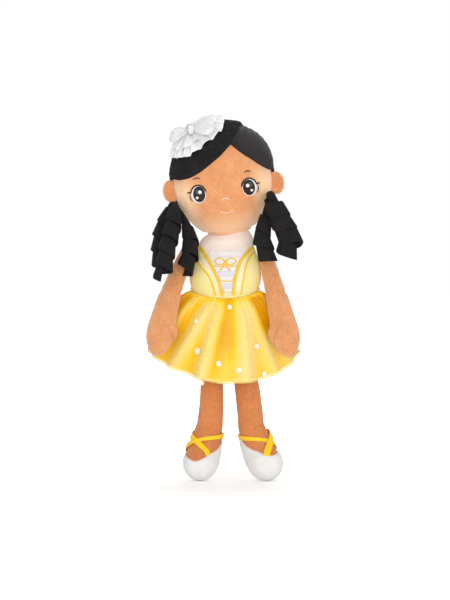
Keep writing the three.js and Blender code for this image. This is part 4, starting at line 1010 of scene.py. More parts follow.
    def dots(self) -> None:
        """Foil dots on the sheer layer: those seen in front, and a ring of others round the back."""
        parts = []
        for across, height, half in self.front_dots:
            parts.append(self.dot(*self.seen_at(across, height), half))
        for i in range(20):
            parts.append(self.dot((70 + 11.5 * i) / 360, (0.3, 0.72, 0.5, 0.92)[i % 4], 2.5))
        self.squashed(dress(Mesh.joined("foil_dots", parts), FOIL_DOT, "torso"))

    def seen_at(self, across: float, height: float) -> tuple[float, float]:
        """Turn and share of the place on the front that is seen at millimetres across and up."""
        turn = np.linspace(-0.24, 0.24, 241)[None, :]
        share = np.linspace(0.02, 1.04, 103)[:, None]
        places = self.at(turn, share, 0)
        away = np.hypot(places[..., 0] - across, places[..., 2] - height)
        row, column = np.unravel_index(away.argmin(), away.shape)
        return float(turn[0, column]), float(share[row, 0])

    def dot(self, turn: float, share: float, half: float) -> bpy.types.Object:
        """A round dot of foil on the organza."""
        width = np.linalg.norm(self.bare(np.array(turn + 0.005), np.array(share))
                               - self.bare(np.array(turn - 0.005), np.array(share))) / 0.01
        drop = np.linalg.norm(self.bare(np.array(turn), np.array(share + 0.02))
                              - self.bare(np.array(turn), np.array(share - 0.02))) / 0.04
        return Mesh.lens("dot", lambda s, t, h: self.at(s / width, t / drop, h),
                         (turn * width, share * drop), (half, half), 1.9, 2.35, 20)

    def build(self) -> None:
        """Makes both layers, their hems and the dots."""
        self.layer("satin_skirt", 0.8, 0.0, SKIRT_SATIN, "skirt_satin", 0.6)
        self.hem("satin_hem", 0.995, 0.8, HEM_SATIN)
        self.layer("organza_skirt", 1.8, 1.2, SKIRT_SHEER, "skirt_overlay", 0.25)
        self.hem("organza_hem", 1.013, 1.8, HEM_SHEER)
        self.dots()


@dataclass
class Arm:
    """A stuffed plush arm with a mitten hand."""

    side: str
    length: float = 116
    shoulder: float = 7.5
    lean: float = 18
    spread: float = 15.5
    bow: float = 2.0

    def __post_init__(self) -> None:
        """Works out the arm's form and place."""
        long, round_ = self.length, self.shoulder
        turn = about("x", -self.lean) @ about("y", -SIDES[self.side] * self.spread)
        self.place = Placement(pivot(f"arm_{self.side}_raise"), turn)
        self.form = Stuffed(
            stations=[(0, round_, round_), (round_, round_, round_), (long * 0.21, 8.8, 8.4),
                      (long * 0.32, 9.3, 8.9), (long * 0.49, 11.6, 9.7), (long * 0.63, 12.8, 10.5),
                      (long * 0.77, 14.2, 11), (long * 0.88, 13.6, 10.5), (long, 12.2, 9.5)],
            start_round=self.shoulder, end_round=22, spine=self.spine, swell=self.swell,
        )

    def spine(self, d: Array) -> Array:
        """Centre line: straight down from the shoulder, bowed outwards by half a sine."""
        along = np.clip((d - self.shoulder) / (self.length - self.shoulder), 0, 1)
        return stack(SIDES[self.side] * self.bow * np.sin(math.pi * along), 0 * d, self.shoulder - d)

    def swell(self, d: Array, angle: Array) -> Array:
        """Thumb, the crease beside it, the elbow's crease and the long seam, as shares of the size."""
        ahead = angle if self.side == "left" else math.pi - angle
        ahead = wrapped(ahead)
        beyond = d - self.length * (0.85 - 0.1 * ahead)
        thumb = 0.26 * bell(beyond + 7.5, 6) * bell(ahead - 0.2, 0.65)
        seam_at = math.pi if self.side == "right" else 0.0
        from_seam = np.abs(wrapped(angle - seam_at))
        seam = -0.045 * bell(from_seam, 0.07)
        crease = -0.26 * bell(beyond, 1.9) * bell(ahead - 0.5, 0.8, 4)
        inner = np.abs(wrapped(angle - math.pi - seam_at))
        elbow = -0.09 * bell(d - self.length * 0.42 - 3 * inner, 2.2) * bell(inner, 0.9)
        elbow = elbow - 0.07 * bell(d - self.length * 0.19, 1.8) * bell(from_seam, 0.9)
        soft = 0.012 * ripple(d, 12 * angle, 17, way_seed(self.side))
        return thumb + seam + crease + elbow + soft

    def build(self) -> None:
        """Makes the arm."""
        points = self.place(self.form.at(self.form.spread(150)[:, None], turns(96)[None, :]))
        obj = Mesh.grid(f"arm_skin_{self.side}", points, cloth=(0.07, 0.12))
        nodes = [f"arm_cover_{self.side}", f"arm_stuffing_{self.side}"]
        dress(obj, BODY_PLUSH, f"arm_{self.side}", nodes)


def way_seed(side: str) -> float:
    """A different unevenness for each side."""
    return 1.0 if side == "left" else 4.2


@dataclass
class Leg:
    """A stuffed plush leg with its ballet shoe and ribbons."""

    side: str
    thigh: float = 10.5
    knee_drop: float = 58
    ankle_drop: float = 100
    foot: float = 56
    pitch: float = 38
    bend: float = 50
    spread: float = 3.2
    splay: float = 9
    knee: float = 11.3
    ankle_wide: float = 13.4
    bow: float = 2.0
    rim: tuple = (27.5, 12.5, 10, -5)
    wall: float = 1.5
    gap: float = 1.0
    ribbon: float = 5.8
    ribbon_wall: float = 0.5

    def __post_init__(self) -> None:
        """Works out the leg's form, fitted so that the shoe's toe reaches the floor."""
        way = SIDES[self.side]
        self.ankle = self.thigh + self.ankle_drop
        self.place = Placement(pivot(f"leg_{self.side}_swing"), about("y", -way * self.spread))
        self.form = self.shape()
        for _ in range(3):
            shoe = self.form.grown(self.gap + self.wall)
            lowest = self.place(shoe.at(shoe.spread(200)[:, None], turns(72)[None, :]))[..., 2].min()
            self.ankle += lowest / math.cos(math.radians(self.spread))
            self.form = self.shape()

    def shape(self) -> Stuffed:
        """The leg's form for the present ankle."""
        ankle, foot = self.ankle, self.foot
        ratio = (ankle - self.thigh) / self.ankle_drop
        return Stuffed(
            stations=[(0, self.thigh, self.thigh), (self.thigh, self.thigh, self.thigh),
                      (self.thigh + self.knee_drop * ratio, self.knee, 11.3),
                      (ankle, self.ankle_wide, self.ankle_wide),
                      (ankle + foot * 0.3, 15.2, 13.6), (ankle + foot * 0.52, 15.8, 13.6),
                      (ankle + foot, 15.8, 13.6)],
            start_round=self.thigh, end_round=19, spine=self.spine, swell=self.swell,
        )

    def spine(self, d: Array) -> Array:
        """Centre line: straight to the ankle, then round a bend, ahead and outwards."""
        beyond = np.maximum(d - self.ankle, 0)
        turn = np.minimum(beyond / self.bend, math.radians(self.pitch))
        rest = beyond - turn * self.bend
        ahead = self.bend * (1 - np.cos(turn)) + rest * np.sin(turn)
        down = self.bend * np.sin(turn) + rest * np.cos(turn)
        out = SIDES[self.side] * math.tan(math.radians(self.splay)) * beyond * 0.9
        out = out + self.bow * bell(d - self.ankle + 20, 34)
        return stack(out, -ahead, self.thigh - np.minimum(d, self.ankle) - down)

    def swell(self, d: Array, angle: Array) -> Array:
        """A shallow seam down the front of the leg, and slight unevenness."""
        seam_at = math.pi / 2 - SIDES[self.side] * 0.9
        seam = -0.03 * bell(wrapped(angle - seam_at), 0.06) * (d < self.ankle + 10)
        return seam + 0.012 * ripple(d, 12 * angle, 19, way_seed(self.side) + 1)

    def mouth(self, angle: Array) -> Array:
        """Distance of the shoe's mouth: its middle, and its lean ahead, sideways and twice round."""
        middle, ahead, aside, twice = self.rim
        out = SIDES[self.side] * np.cos(angle)
        return self.ankle + middle + ahead * np.sin(angle) + aside * out + twice * np.cos(2 * angle)

    def shoe(self) -> None:
        """The shoe: a satin shell from its mouth to the toe, flat where it stands, with piping."""
        form = self.form.grown(self.gap + self.wall)
        angle = turns(128)[None, :]
        share = np.sin(np.linspace(0, math.pi / 2, 70))[:, None]
        d = self.mouth(angle) + (form.end - self.mouth(angle)) * share
        pucker = 0.35 * ripple(d, 14 * angle, 13, way_seed(self.side)) * np.clip(share * 6, 0, 1)
        pucker = pucker - 1.3 * np.exp(-share / 0.12)
        points = self.place(form.at(d, angle, pucker))
        points[..., 2] = np.maximum(points[..., 2], 0.0)
        obj = Mesh.grid(f"ballet_shoe_{self.side}", points, poles=(False, True), cloth=(0.09, 0.05))
        Mesh.thicken(obj, 0.9, -1.0)
        dress(obj, SHOE_SATIN, f"leg_{self.side}", [f"shoe_{self.side}"])
        laid(obj)
        around = turns(160)
        rim = self.place(form.at(self.mouth(around), around, -1.6))
        piping = Mesh.tube(f"shoe_piping_{self.side}", rim, 0.7, closed=True, sides=10)
        dress(piping, PINK_PIPING, f"leg_{self.side}")

    @property
    def ankle_over(self) -> bool:
        """Whether the ankle's ribbon lies over the crossing one."""
        return self.side == "left"

    def ankle_band(self) -> None:
        """The ribbon round the ankle, in a slant that is higher outside than inside."""
        angle = turns(120)[None, :]
        across = np.linspace(0, 1, 9)[:, None]
        top = self.ankle + 13 + 10 * SIDES[self.side] * np.cos(angle)
        rise = (2.2 if self.ankle_over else 1.1) + 0.12 * np.sin(9 * angle) + 0.1 * np.sin(5 * across)
        band = self.place(self.form.at(top + self.ribbon * across, angle, rise))
        obj = Mesh.grid(f"ankle_band_{self.side}", band, poles=(False, False), cloth=(0.09, 0.0044))
        Mesh.thicken(obj, self.ribbon_wall)
        dress(obj, RIBBON, f"leg_{self.side}", [f"ribbon_ankle_{self.side}"])
        laid(obj)

    def cross_band(self) -> None:
        """The ribbon that crosses the instep: a smooth line through knots, widened square to its run.

        A knot is its number, its place round the leg in half turns and its distance past the ankle.
        """
        if self.ankle_over:
            ends = [(4, 0.24, 19), (5, 0.02, 28), (6, -0.2, 39)]
        else:
            ends = [(4, 0.31, 20), (5, 0.15, 31), (6, 0.0, 43)]
        knots = [(0, 1.45, 5.5), (1, 1.1, 8), (2, 0.78, 9), (3, 0.5, 12), *ends]
        k = np.linspace(0, 6, 120)
        angle = math.pi / 2 - SIDES[self.side] * smooth(knots, k, 1) * math.pi
        beyond = self.ankle + smooth(knots, k, 2)
        run = unit(np.column_stack([np.gradient(angle) * self.ankle_wide, np.gradient(beyond)]))
        q = np.linspace(-self.ribbon / 2, self.ribbon / 2, 7)[None, :]
        under = 1.1 if self.ankle_over else 2.1
        lift = under + 0.15 * np.sin(6 * k)[:, None] - 0.6 * np.clip(k - 5.2, 0, 1)[:, None]
        band = self.place(self.form.at(
            beyond[:, None] + run[:, :1] * q, angle[:, None] - run[:, 1:] * q / self.ankle_wide,
            lift + 0 * q))
        obj = Mesh.grid(f"cross_band_{self.side}", band, round_=False, poles=(False, False),
                        cloth=(0.0046, 0.05))
        Mesh.thicken(obj, self.ribbon_wall)
        dress(obj, RIBBON, f"leg_{self.side}", [f"ribbon_cross_{self.side}"])
        laid(obj)

    def build(self) -> None:
        """Makes the leg, its shoe and its ribbons."""
        points = self.place(self.form.at(self.form.spread(170)[:, None], turns(96)[None, :]))
        obj = Mesh.grid(f"leg_skin_{self.side}", points, cloth=(0.08, 0.17))
        nodes = [f"leg_cover_{self.side}", f"leg_stuffing_{self.side}"]
        dress(obj, LEG_PLUSH, f"leg_{self.side}", nodes)
        self.shoe()
        self.ankle_band()
        self.cross_band()


@dataclass
class Head:
    """The tilted plush head, with its embroidered face and ears."""

    wide: float = 50
    deep: float = 40
    tall: float = 58
    tilt: float = -8
    seat: float = 5.5
    shift: float = 2.2
    eye_spacing: float = 51
    eye_height: float = -11.1

    def __post_init__(self) -> None:
        """Places the head's middle over the neck's pivot."""
        turn = about("y", self.tilt)
        middle = pivot("neck_tilt") + turn @ np.array([self.shift, 0, self.tall - self.seat])
        self.place = Placement(middle, turn)

    def over(self, way: Array, height: Array | float) -> Array:
        """Place over the head in a direction, in the head's frame: the ellipsoid grown by a height."""
        return way * (np.array([self.wide, self.deep, self.tall]) + np.asarray(height)[..., None])

    def face(self, x: Array, z: Array, height: Array) -> Array:
        """Place on the face in the doll's frame: millimetres across and above the head's middle."""
        u, w = np.asarray(x) / self.wide, np.asarray(z) / self.tall
        y = -np.sqrt(np.clip(1 - u * u - w * w, 0, None))
        return self.place(self.over(stack(u, y, w), height))

    def ear(self, side: str) -> None:
        """A cupped ear: an oval cushion whose front is dished, seated against the head."""
        way = SIDES[side]
        height = {"left": -4, "right": -10}[side]
        u = np.linspace(0, 1, 60)[:, None]
        angle = turns(72)[None, :]
        reach = np.sin(math.pi * u)
        dish = np.where(u < 0.5, 5.2 * np.clip(1 - (reach / 0.78) ** 2, 0, 1), 0)
        x = way * 53 + 8.5 * reach * np.cos(angle)
        z = height + 11.5 * reach * np.sin(angle)
        y = -5 - 4 * np.cos(math.pi * u) * (1 + 0.1 * np.sin(2 * angle)) + dish
        obj = Mesh.grid(f"ear_skin_{side}", self.place(stack(x, y, z)), cloth=(0.05, 0.03))
        dress(obj, FACE_PLUSH, "head", [f"ear_{side}"])

    def eye(self, side: str) -> None:
        """An embroidered eye: white, iris, grey bloom, lights, lash line with flicks, and brow."""
        way = SIDES[side]
        x, z = way * self.eye_spacing / 2, self.eye_height
        iris = x - way * 0.9
        discs = [
            (f"eye_patch_{side}", (x, z), (7.2, 8.5), 0.1, 0.9, 64, WHITE_THREAD, [f"eye_white_{side}"]),
            (f"iris_patch_{side}", (iris, z + 0.3), (5.9, 7.7), 0.7, 1.6, 64, DARK_THREAD, [f"iris_{side}"]),
            (f"iris_bloom_{side}", (iris + way * 0.9, z + 3.0), (2.6, 2.4), 1.3, 1.8, 40, GREY_THREAD, []),
            (f"eye_light_{side}_0", (iris - way * 1.4, z + 2.4), (1.8, 1.8), 1.6, 2.3, 24, WHITE_THREAD, []),
            (f"eye_light_{side}_1", (iris + way * 1.9, z - 2.6), (1.3, 1.3), 1.6, 2.3, 24, WHITE_THREAD, []),
        ]
        for name, centre, half, low, high, count, finish, nodes in discs:
            dress(Mesh.lens(name, self.face, centre, half, low, high, count), finish, "head", nodes)
        rim = np.array([0.1, 0.25, 0.4, 0.55, 0.7, 0.85, 0.96]) * math.pi
        lid = [(x + way * 7.9 * math.cos(a), z + 9.2 * math.sin(a)) for a in rim]
        strokes = {
            f"lash_line_{side}": (
                [(x + way * 11.2, z + 3.8), (x + way * 9.2, z + 3.1), *lid], 1.5, [f"lash_{side}"]),
            f"lash_side_{side}": (
                [(x + way * 8.6, z + 1.6), (x + way * 8.5, z - 2.5), (x + way * 6.6, z - 6.4)], 0.7, []),
            f"brow_line_{side}": ([(x - 3.8, 4.0), (x, 5.5), (x + 3.8, 4.2)], 0.95, [f"brow_{side}"]),
        }
        for name, (path, width, nodes) in strokes.items():
            dress(Mesh.braid(name, self.face, path, width, 0.0, 0.9, taper=2.4), DARK_THREAD, "head", nodes)

    def build(self) -> None:
        """Makes the head, the ears and the face; painted light makes the plush paler low down and beside the
        cheeks.
        """
        u = np.linspace(0, math.pi, 140)[:, None]
        angle = turns(180)[None, :]
        way = stack(np.sin(u) * np.cos(angle), -np.sin(u) * np.sin(angle), np.cos(u))
        x, y, z = way[..., 0], way[..., 1], way[..., 2]
        seam = -1.8 * bell(z + 0.905 - 0.12 * x**2, 0.012) * (y < 0.2)
        cheeks = 0.5 * ripple(50 * x, 58 * z, 34, 0.3)
        skin = Mesh.grid("head_skin", self.place(self.over(way, seam + cheeks * 0.5)), cloth=(0.3, 0.18))
        # Painted light: a painted highlight low on the face, and a paler tone beside the cheeks that paints out
        # the ringlets' shade, both on the front only.
        low = 0.55 * np.clip((-z - 0.5) / 0.28, 0, 1)
        beside = np.clip((np.abs(x) - 0.5) / 0.26, 0, 1) * np.clip((0.25 - z) / 0.35, 0, 1)
        ahead = np.clip((-y - 0.05) / 0.3, 0, 1)
        Mesh.shaded(skin, 0.5 + 0.49 * np.maximum(low, beside) * ahead)
        dress(skin, HEAD_PLUSH, "head", ["head_cover", "head_stuffing"])
        for side in SIDES:
            self.ear(side)
            self.eye(side)
        features = {
            "nose": ([(-4, -20.2), (-2.4, -18.9), (0, -18.3), (2.4, -18.9), (4, -20.2)], 1.5),
            "mouth": ([(-6.6, -30.5), (-3.3, -32.2), (0, -32.7), (3.3, -32.2), (6.6, -30.5)], 1.15),
        }
        for name, (path, width) in features.items():
            line = Mesh.braid(f"{name}_line", self.face, path, width, 0.0, 0.9, taper=1.5)
            dress(line, PEACH_THREAD, "head", [name])


@dataclass
class Hair:
    """Plush hair over the head, with a smooth panel on the right, two bunches and their ringlets."""

    head: Head
    pile: float = 3.4
    seat: float = 0.4
    puff: float = 3.4
    part_top: float = 29
    cap_top: float = 90.5
    cap_nape: float = 48
    left_line: tuple = ((-0.975, 0.155), (-0.85, 0.1), (-0.634, 0.112), (-0.408, 0.186), (-0.174, 0.303),
                        (0.036, 0.421), (0.25, 0.578))
    right_line: tuple = ((0.2, 0.635), (0.438, 0.414), (0.61, 0.29), (0.78, 0.167), (0.92, 0.085),
                         (0.985, 0.06))

    def panel(self, side: str, thickness: float, finish: Finish) -> None:
        """Hair from the hairline over the head to the crown, rounded down at every edge."""
        line = np.array(self.left_line if side == "left" else self.right_line)
        knots = np.column_stack([np.linspace(0, 1, len(line)), line])
        p = np.linspace(0, 1, 110)[:, None]
        q = np.linspace(0, 1, 70)[None, :]
        x, y = smooth(knots, p, 1), smooth(knots, p, 2)
        start = unit(stack(x, -np.sqrt(np.clip(1 - x * x - y * y, 1e-4, None)), y))
        low, high = (-81, self.part_top + 4.5) if side == "left" else (self.part_top - 2, 86.5)
        crown = np.radians(low + (high - low) * p)
        end = unit(stack(np.sin(crown), 0.06, np.cos(crown)))
        gap = np.arccos(np.clip((start * end).sum(-1), -1, 1))[..., None]
        way = unit(start * np.sin((1 - q[..., None]) * gap) + end * np.sin(q[..., None] * gap))
        edge = np.clip(np.minimum(np.minimum(q / 0.09, (1 - q) / 0.05), np.minimum(p, 1 - p) / 0.035), 0, 1)
        rise = quarter(edge)
        if side == "left":
            rise = rise * (1 + 0.3 * bell((1 - p) - 0.06, 0.05) + 0.22 * bell(q - 0.1, 0.08))
            puff, nap = 0.0, 0.5 * ripple(90 * p, 70 * q, 9, 2.0)
        else:
            puff = self.puff * np.sin(math.pi * np.clip(p * 1.15 - 0.1, 0, 1)) * np.clip(q / 0.3, 0, 1) ** 0.6
            nap = 0.25 * np.sin(60 * p + 7 * q)
        top = self.head.over(way, self.seat + rise * (thickness + puff + nap * rise))
        bottom = self.head.over(way[:, ::-1], self.seat - 0.6)
        points = self.head.place(np.concatenate([top, bottom], 1))
        obj = Mesh.grid(f"hair_panel_{side}", points, cloth=(0.12, 0.12))
        dress(obj, finish, "head", [f"hair_front_{side}"])

    def back(self) -> None:
        """The cap over the back of the head, from the crown line down to the nape."""
        turn = turns(160)[None, :]
        down = np.clip(-np.cos(turn), 0, 1)
        rim = np.radians(self.cap_top + (self.cap_nape - self.cap_top) * down**1.5)
        share = np.linspace(0, 1, 80)[:, None]
        open_ = rim * share
        way = stack(np.sin(open_) * np.sin(turn), np.cos(open_), np.sin(open_) * np.cos(turn))
        rise = quarter(np.clip((1 - share) / 0.06, 0, 1))
        tufts = 0.45 * ripple(70 * way[..., 0], 70 * way[..., 2], 11, 5.0)
        top = self.head.over(way, self.seat + rise * (self.pile + tufts))
        bottom = self.head.over(way[::-1], self.seat - 0.6)
        points = self.head.place(np.concatenate([top, bottom]))
        dress(Mesh.grid("hair_cap", points, cloth=(0.3, 0.2)), HAIR_PLUSH, "head", ["hair_back"])

    def build(self) -> None:
        """Makes the hair that is sewn to the head."""
        self.panel("left", self.pile, HAIR_PLUSH)
        self.panel("right", self.pile * 0.75, HAIR_SATIN)
        self.back()


@dataclass(frozen=True)
class Curl:
    """A ringlet: its centre line from the bunch's pivot, its radius, where it starts and its growth."""

    centres: tuple[tuple[float, float, float], ...]
    radius: float
    start: float
    growth: float = 0.0

    @property
    def first(self) -> Array:
        """The centre line's top."""
        return np.array(self.centres[0], float)

    @property
    def down(self) -> Array:
        """The direction in which the centre line sets out."""
        return unit(np.array(self.centres[1], float) - self.first)


@dataclass
class Bunch:
    """A tie on the head's side with felt ringlets hanging from it."""

    side: str
    ringlets: dict[str, Curl]
    pitch: float = 14.6
    band: float = 15.6
    flare: float = 1.25
    wall: float = 2.0
    top: float = 0.85
    above: float = 3.0
    tuft: float = 3.6
    corners: float = 4.5

    def curve(self, centres: Sequence[Sequence[float]], count: int) -> tuple[Array, float]:
        """Points evenly along a smooth line through the centres, in the doll's frame, and its length."""
        table = np.column_stack([np.arange(len(centres)), np.array(centres, float)])
        k = np.linspace(0, len(centres) - 1, 400)
        line = stack(*(smooth(table, k, c) for c in (1, 2, 3)))
        run = np.r_[0, np.cumsum(np.linalg.norm(np.diff(line, axis=0), axis=1))]
        even = np.interp(np.linspace(0, run[-1], count), run, k)
        line = stack(*(smooth(table, even, c) for c in (1, 2, 3)))
        return line + pivot(f"bunch_{self.side}_swing"), run[-1]

    def ringlet(self, name: str, node: str, curl: Curl) -> None:
        """A felt band wound down a line: each turn flares over the next, and is folded to four sides."""
        centres = [tuple(curl.first - self.above * curl.down), *curl.centres[1:]]
        _, length = self.curve(centres, 8)
        rounds = length / self.pitch
        count = int(rounds * 40)
        line, _ = self.curve(centres, count)
        share = np.linspace(0, 1, count)
        down = unit(np.gradient(line, axis=0))
        side = unit(np.array([1.0, 0, 0]) - down * down[:, :1])
        front = np.cross(side, down)
        angle = TAU * (curl.start + share * rounds)
        corner, power = angle - 0.25 + 0.5 * curl.start, self.corners
        square = (np.abs(np.cos(corner)) ** power + np.abs(np.sin(corner)) ** power) ** (-1 / power) * 0.92
        opened = np.minimum(1, self.top + share * rounds * (1 - self.top))
        size = curl.radius * opened * (1 + curl.growth * share) * square
        out = side * np.cos(angle)[:, None] + front * np.sin(angle)[:, None]
        section = turns(20)
        edge = signed_power(np.cos(section), 0.35)
        skin = signed_power(np.sin(section), 0.6)
        lip = 0.25 * np.clip(edge, 0, 1) ** 4
        reach = size[:, None] + edge * self.flare + lip + skin * self.wall / 2
        points = (line[:, None] + down[:, None] * (edge * self.band / 2)[None, :, None]
                  + out[:, None] * reach[..., None])
        obj = Mesh.grid(name, points, cloth=(0.035, length * 5 * MM))
        dress(obj, RINGLET_FELT, f"bunch_{self.side}", [node])

    def tie(self) -> None:
        """The tie: a tuft against the head, with a full strand into the top of each ringlet."""
        origin = pivot(f"bunch_{self.side}_swing")
        u = np.linspace(0, math.pi, 24)[:, None]
        angle = turns(32)[None, :]
        size = self.tuft + 0.3 * ripple(40 * u, 9 * angle, 22, 1.0)
        aside = size * np.sin(u)
        ball = origin + stack(aside * np.cos(angle), aside * np.sin(angle), size * np.cos(u))
        parts = [Mesh.grid("ball", ball)]
        for curl in self.ringlets.values():
            path = [(0, 0, 0), tuple(curl.first - curl.down * 9), tuple(curl.first + curl.down * 1.5)]
            line, _ = self.curve(path, 24)
            thick = np.linspace(self.tuft, max(curl.radius * 0.55, 3), 24)
            parts.append(Mesh.tube("strand", line, thick, sides=16))
        tie = Mesh.joined(f"tie_{self.side}", parts)
        dress(tie, HAIR_PLUSH, f"bunch_{self.side}", [f"hair_tie_{self.side}"])

    def build(self) -> None:
        """Makes the tie and its ringlets."""
        self.tie()
        for node, curl in self.ringlets.items():
            self.ringlet(node.replace("ringlet", "curl"), node, curl)


RINGLETS = {
    "left": {
        "ringlet_front_left": Curl(
            ((-1, -21, -8), (-3, -28, -22), (-7, -31, -38), (-9.5, -32, -52), (-12, -32, -66)), 7.9, 0.35),
        "ringlet_outer_left": Curl(
            ((-7, -8, -6), (-13, -11, -20), (-16, -15, -38), (-15.5, -17, -57)), 6.6, 0.1),
        "ringlet_inner_left": Curl(
            ((13.5, -12, -27), (15, -15, -35), (14.5, -18, -47), (10, -19, -61)), 7.6, 0.6, 0.05),
    },
    "right": {
        "ringlet_outer_right": Curl(
            ((3.5, -14, -8), (8.5, -14, -20), (14, -14, -32), (19, -14, -43), (18, -14, -55)),
            9.6, 0.2, 0.15),
        "ringlet_inner_right": Curl(((-6, -4, -29), (-8, -6, -42), (-3.5, -7, -60)), 8, 0.5, 0.05),
    },
}


@dataclass
class HairBow:
    """A sheer bow on the upper left of the head: gathered tulle, two loops and a knot."""

    head: Head
    seat: float = 2.6
    loop_long: float = 21
    loop_turn: float = -28
    half_long: float = 34.5
    half_wide: float = 34
    knot_high: float = 6.1
    knot_radius: float = 4.9
    band_radius: float = 5.2

    def __post_init__(self) -> None:
        """Sets the bow's own +Z along the head's normal under it."""
        u, w = -0.4, 0.77
        cap_lift, pile = 0.95, 3.4
        way = unit(np.array([u, -math.sqrt(1 - u * u - w * w), w]))
        normal = unit(way / np.array([self.head.wide, self.head.deep, self.head.tall]))
        middle = self.head.over(way, cap_lift + pile + self.seat)
        axis = np.cross([0, 0, 1.0], normal)
        s, c = np.linalg.norm(axis), normal[2]
        k = unit(axis)
        cross = np.array([[0, -k[2], k[1]], [k[2], 0, -k[0]], [-k[1], k[0], 0]])
        turn = np.eye(3) + s * cross + (1 - c) * cross @ cross
        self.place = Placement(self.head.place(middle), self.head.place.turn @ turn)
        self.centre = unit(np.array([-0.4, -0.31, 0.86]))
        along = np.array([0.8, 0.12, 0.44])
        self.along = unit(along - self.centre * (along @ self.centre))
        self.over_side = np.cross(self.centre, self.along)

    def ruffle(self, name: str, size: float, lift: float, pleats: int, seed: float,
               nodes: Sequence[str]) -> None:
        """Gathered tulle that follows the head: an oval sheet whose pleats deepen towards its rim.

        Args:
            name: the piece's name.
            size: share of the full oval.
            lift: height over the hair at the middle.
            pleats: how many round the oval.
            seed: sets where the pleats fall.
            nodes: the nodes that it replaces.
        """
        reach = np.linspace(0.03, 1, 44)[:, None]
        turn = turns(360)[None, :]
        drift = turn + 0.35 * np.sin(2 * turn + seed) / 2
        wave = np.arcsin(0.97 * np.sin(pleats * drift + seed)) / 1.3
        wave = wave + 0.4 * np.arcsin(0.95 * np.sin((2 * pleats + 3) * drift + 2 * seed)) / 1.3
        rim = size * (1 + 0.025 * np.sin(5 * turn + seed) + 0.012 * np.sin(13 * turn + 2 * seed))
        oval = np.hypot(self.half_long * np.cos(turn), self.half_wide * np.sin(turn))
        open_ = np.radians(oval) * reach * rim
        out = unit(np.cos(turn)[..., None] * self.half_long * self.along
                   + np.sin(turn)[..., None] * self.half_wide * self.over_side)
        way = self.centre * np.cos(open_)[..., None] + out * np.sin(open_)[..., None]
        rise = 4.9 + lift + 3.0 * reach**1.5 * size - 1.4 * reach**4 + 1.4 * wave * reach**1.3
        points = self.head.place(self.head.over(way, rise))
        obj = Mesh.grid(name, points, cloth=(0.19, 0.006), poles=(True, False))
        Mesh.thicken(obj, 0.3)
        dress(obj, TULLE, "head", nodes)
        laid(obj)

    def loop(self, side: str) -> None:
        """A puffed loop: a flattened sack of tulle, narrow at the knot and gathered into pleats."""
        way = SIDES[side]
        k = np.linspace(0, 1, 50)[:, None]
        turn = turns(96)[None, :]
        narrow, wide, widest = 2.4, 8.6, 0.65
        width = narrow + (wide - narrow) * np.sin(math.pi / 2 * np.clip(k / widest, 0, 1))
        round_ = np.sqrt(1 - np.clip((k - widest) / (1 - widest), 0, 1) ** 2)
        pleat = 1 + 0.1 * np.arcsin(0.96 * np.sin(11 * turn)) * (1 - 0.5 * k)
        x = way * (5.4 + self.loop_long * k)
        y = width * round_ * pleat * np.cos(turn)
        z = 5.2 - 3.5 * k**2 + 0.5 * width * round_ * pleat * np.sin(turn)
        spun = stack(x, y, z) @ about("z", self.loop_turn).T
        obj = Mesh.grid(f"tulle_loop_{side}", self.place(spun), cloth=(0.06, 0.008))
        dress(obj, TULLE_LOOP, "head", [f"bow_loop_{side}"])

    def build(self) -> None:
        """Makes the ruffles, the loops, the knot and its glittering band."""
        self.ruffle("tulle_ruffle", 1.0, 0.0, 19, 0.0, ["tulle_disc"])
        self.ruffle("tulle_ruffle_upper", 0.78, 2.2, 16, 1.4, [])
        for side in SIDES:
            self.loop(side)
        u = np.linspace(0, math.pi, 30)[:, None]
        turn = turns(48)[None, :]
        aside = self.knot_radius * (1 + 0.06 * np.sin(9 * turn)) * np.sin(u)
        up = self.knot_high + self.knot_radius * np.cos(u)
        knot = stack(aside * np.cos(turn), aside * np.sin(turn), up)
        dress(Mesh.grid("tulle_knot", self.place(knot)), TULLE, "head", ["bow_knot"])
        around = turns(60)
        ring = stack(0 * around, self.band_radius * np.cos(around),
                     self.knot_high + self.band_radius * np.sin(around))
        band = ring @ about("z", self.loop_turn).T
        dress(Mesh.tube("glitter_band", self.place(band), 1.0, closed=True, sides=8), GLITTER, "head")


def gusset() -> None:
    """The crotch's gusset: a rounded disc between the legs, with its edge rolled over."""
    middle = pivot("seat_fold")
    u = np.linspace(0, math.pi, 30)[:, None]
    turn = turns(64)[None, :]
    half_thick, radius = 2.2, 10.2
    across = half_thick * signed_power(np.cos(u), 0.5)
    reach = radius * np.sin(u) ** 0.35
    points = middle + stack(across + 0 * turn, reach * np.cos(turn), reach * np.sin(turn))
    dress(Mesh.grid("seat_gusset", points), BODY_PLUSH, "seat", ["crotch_gusset"])


# Studio

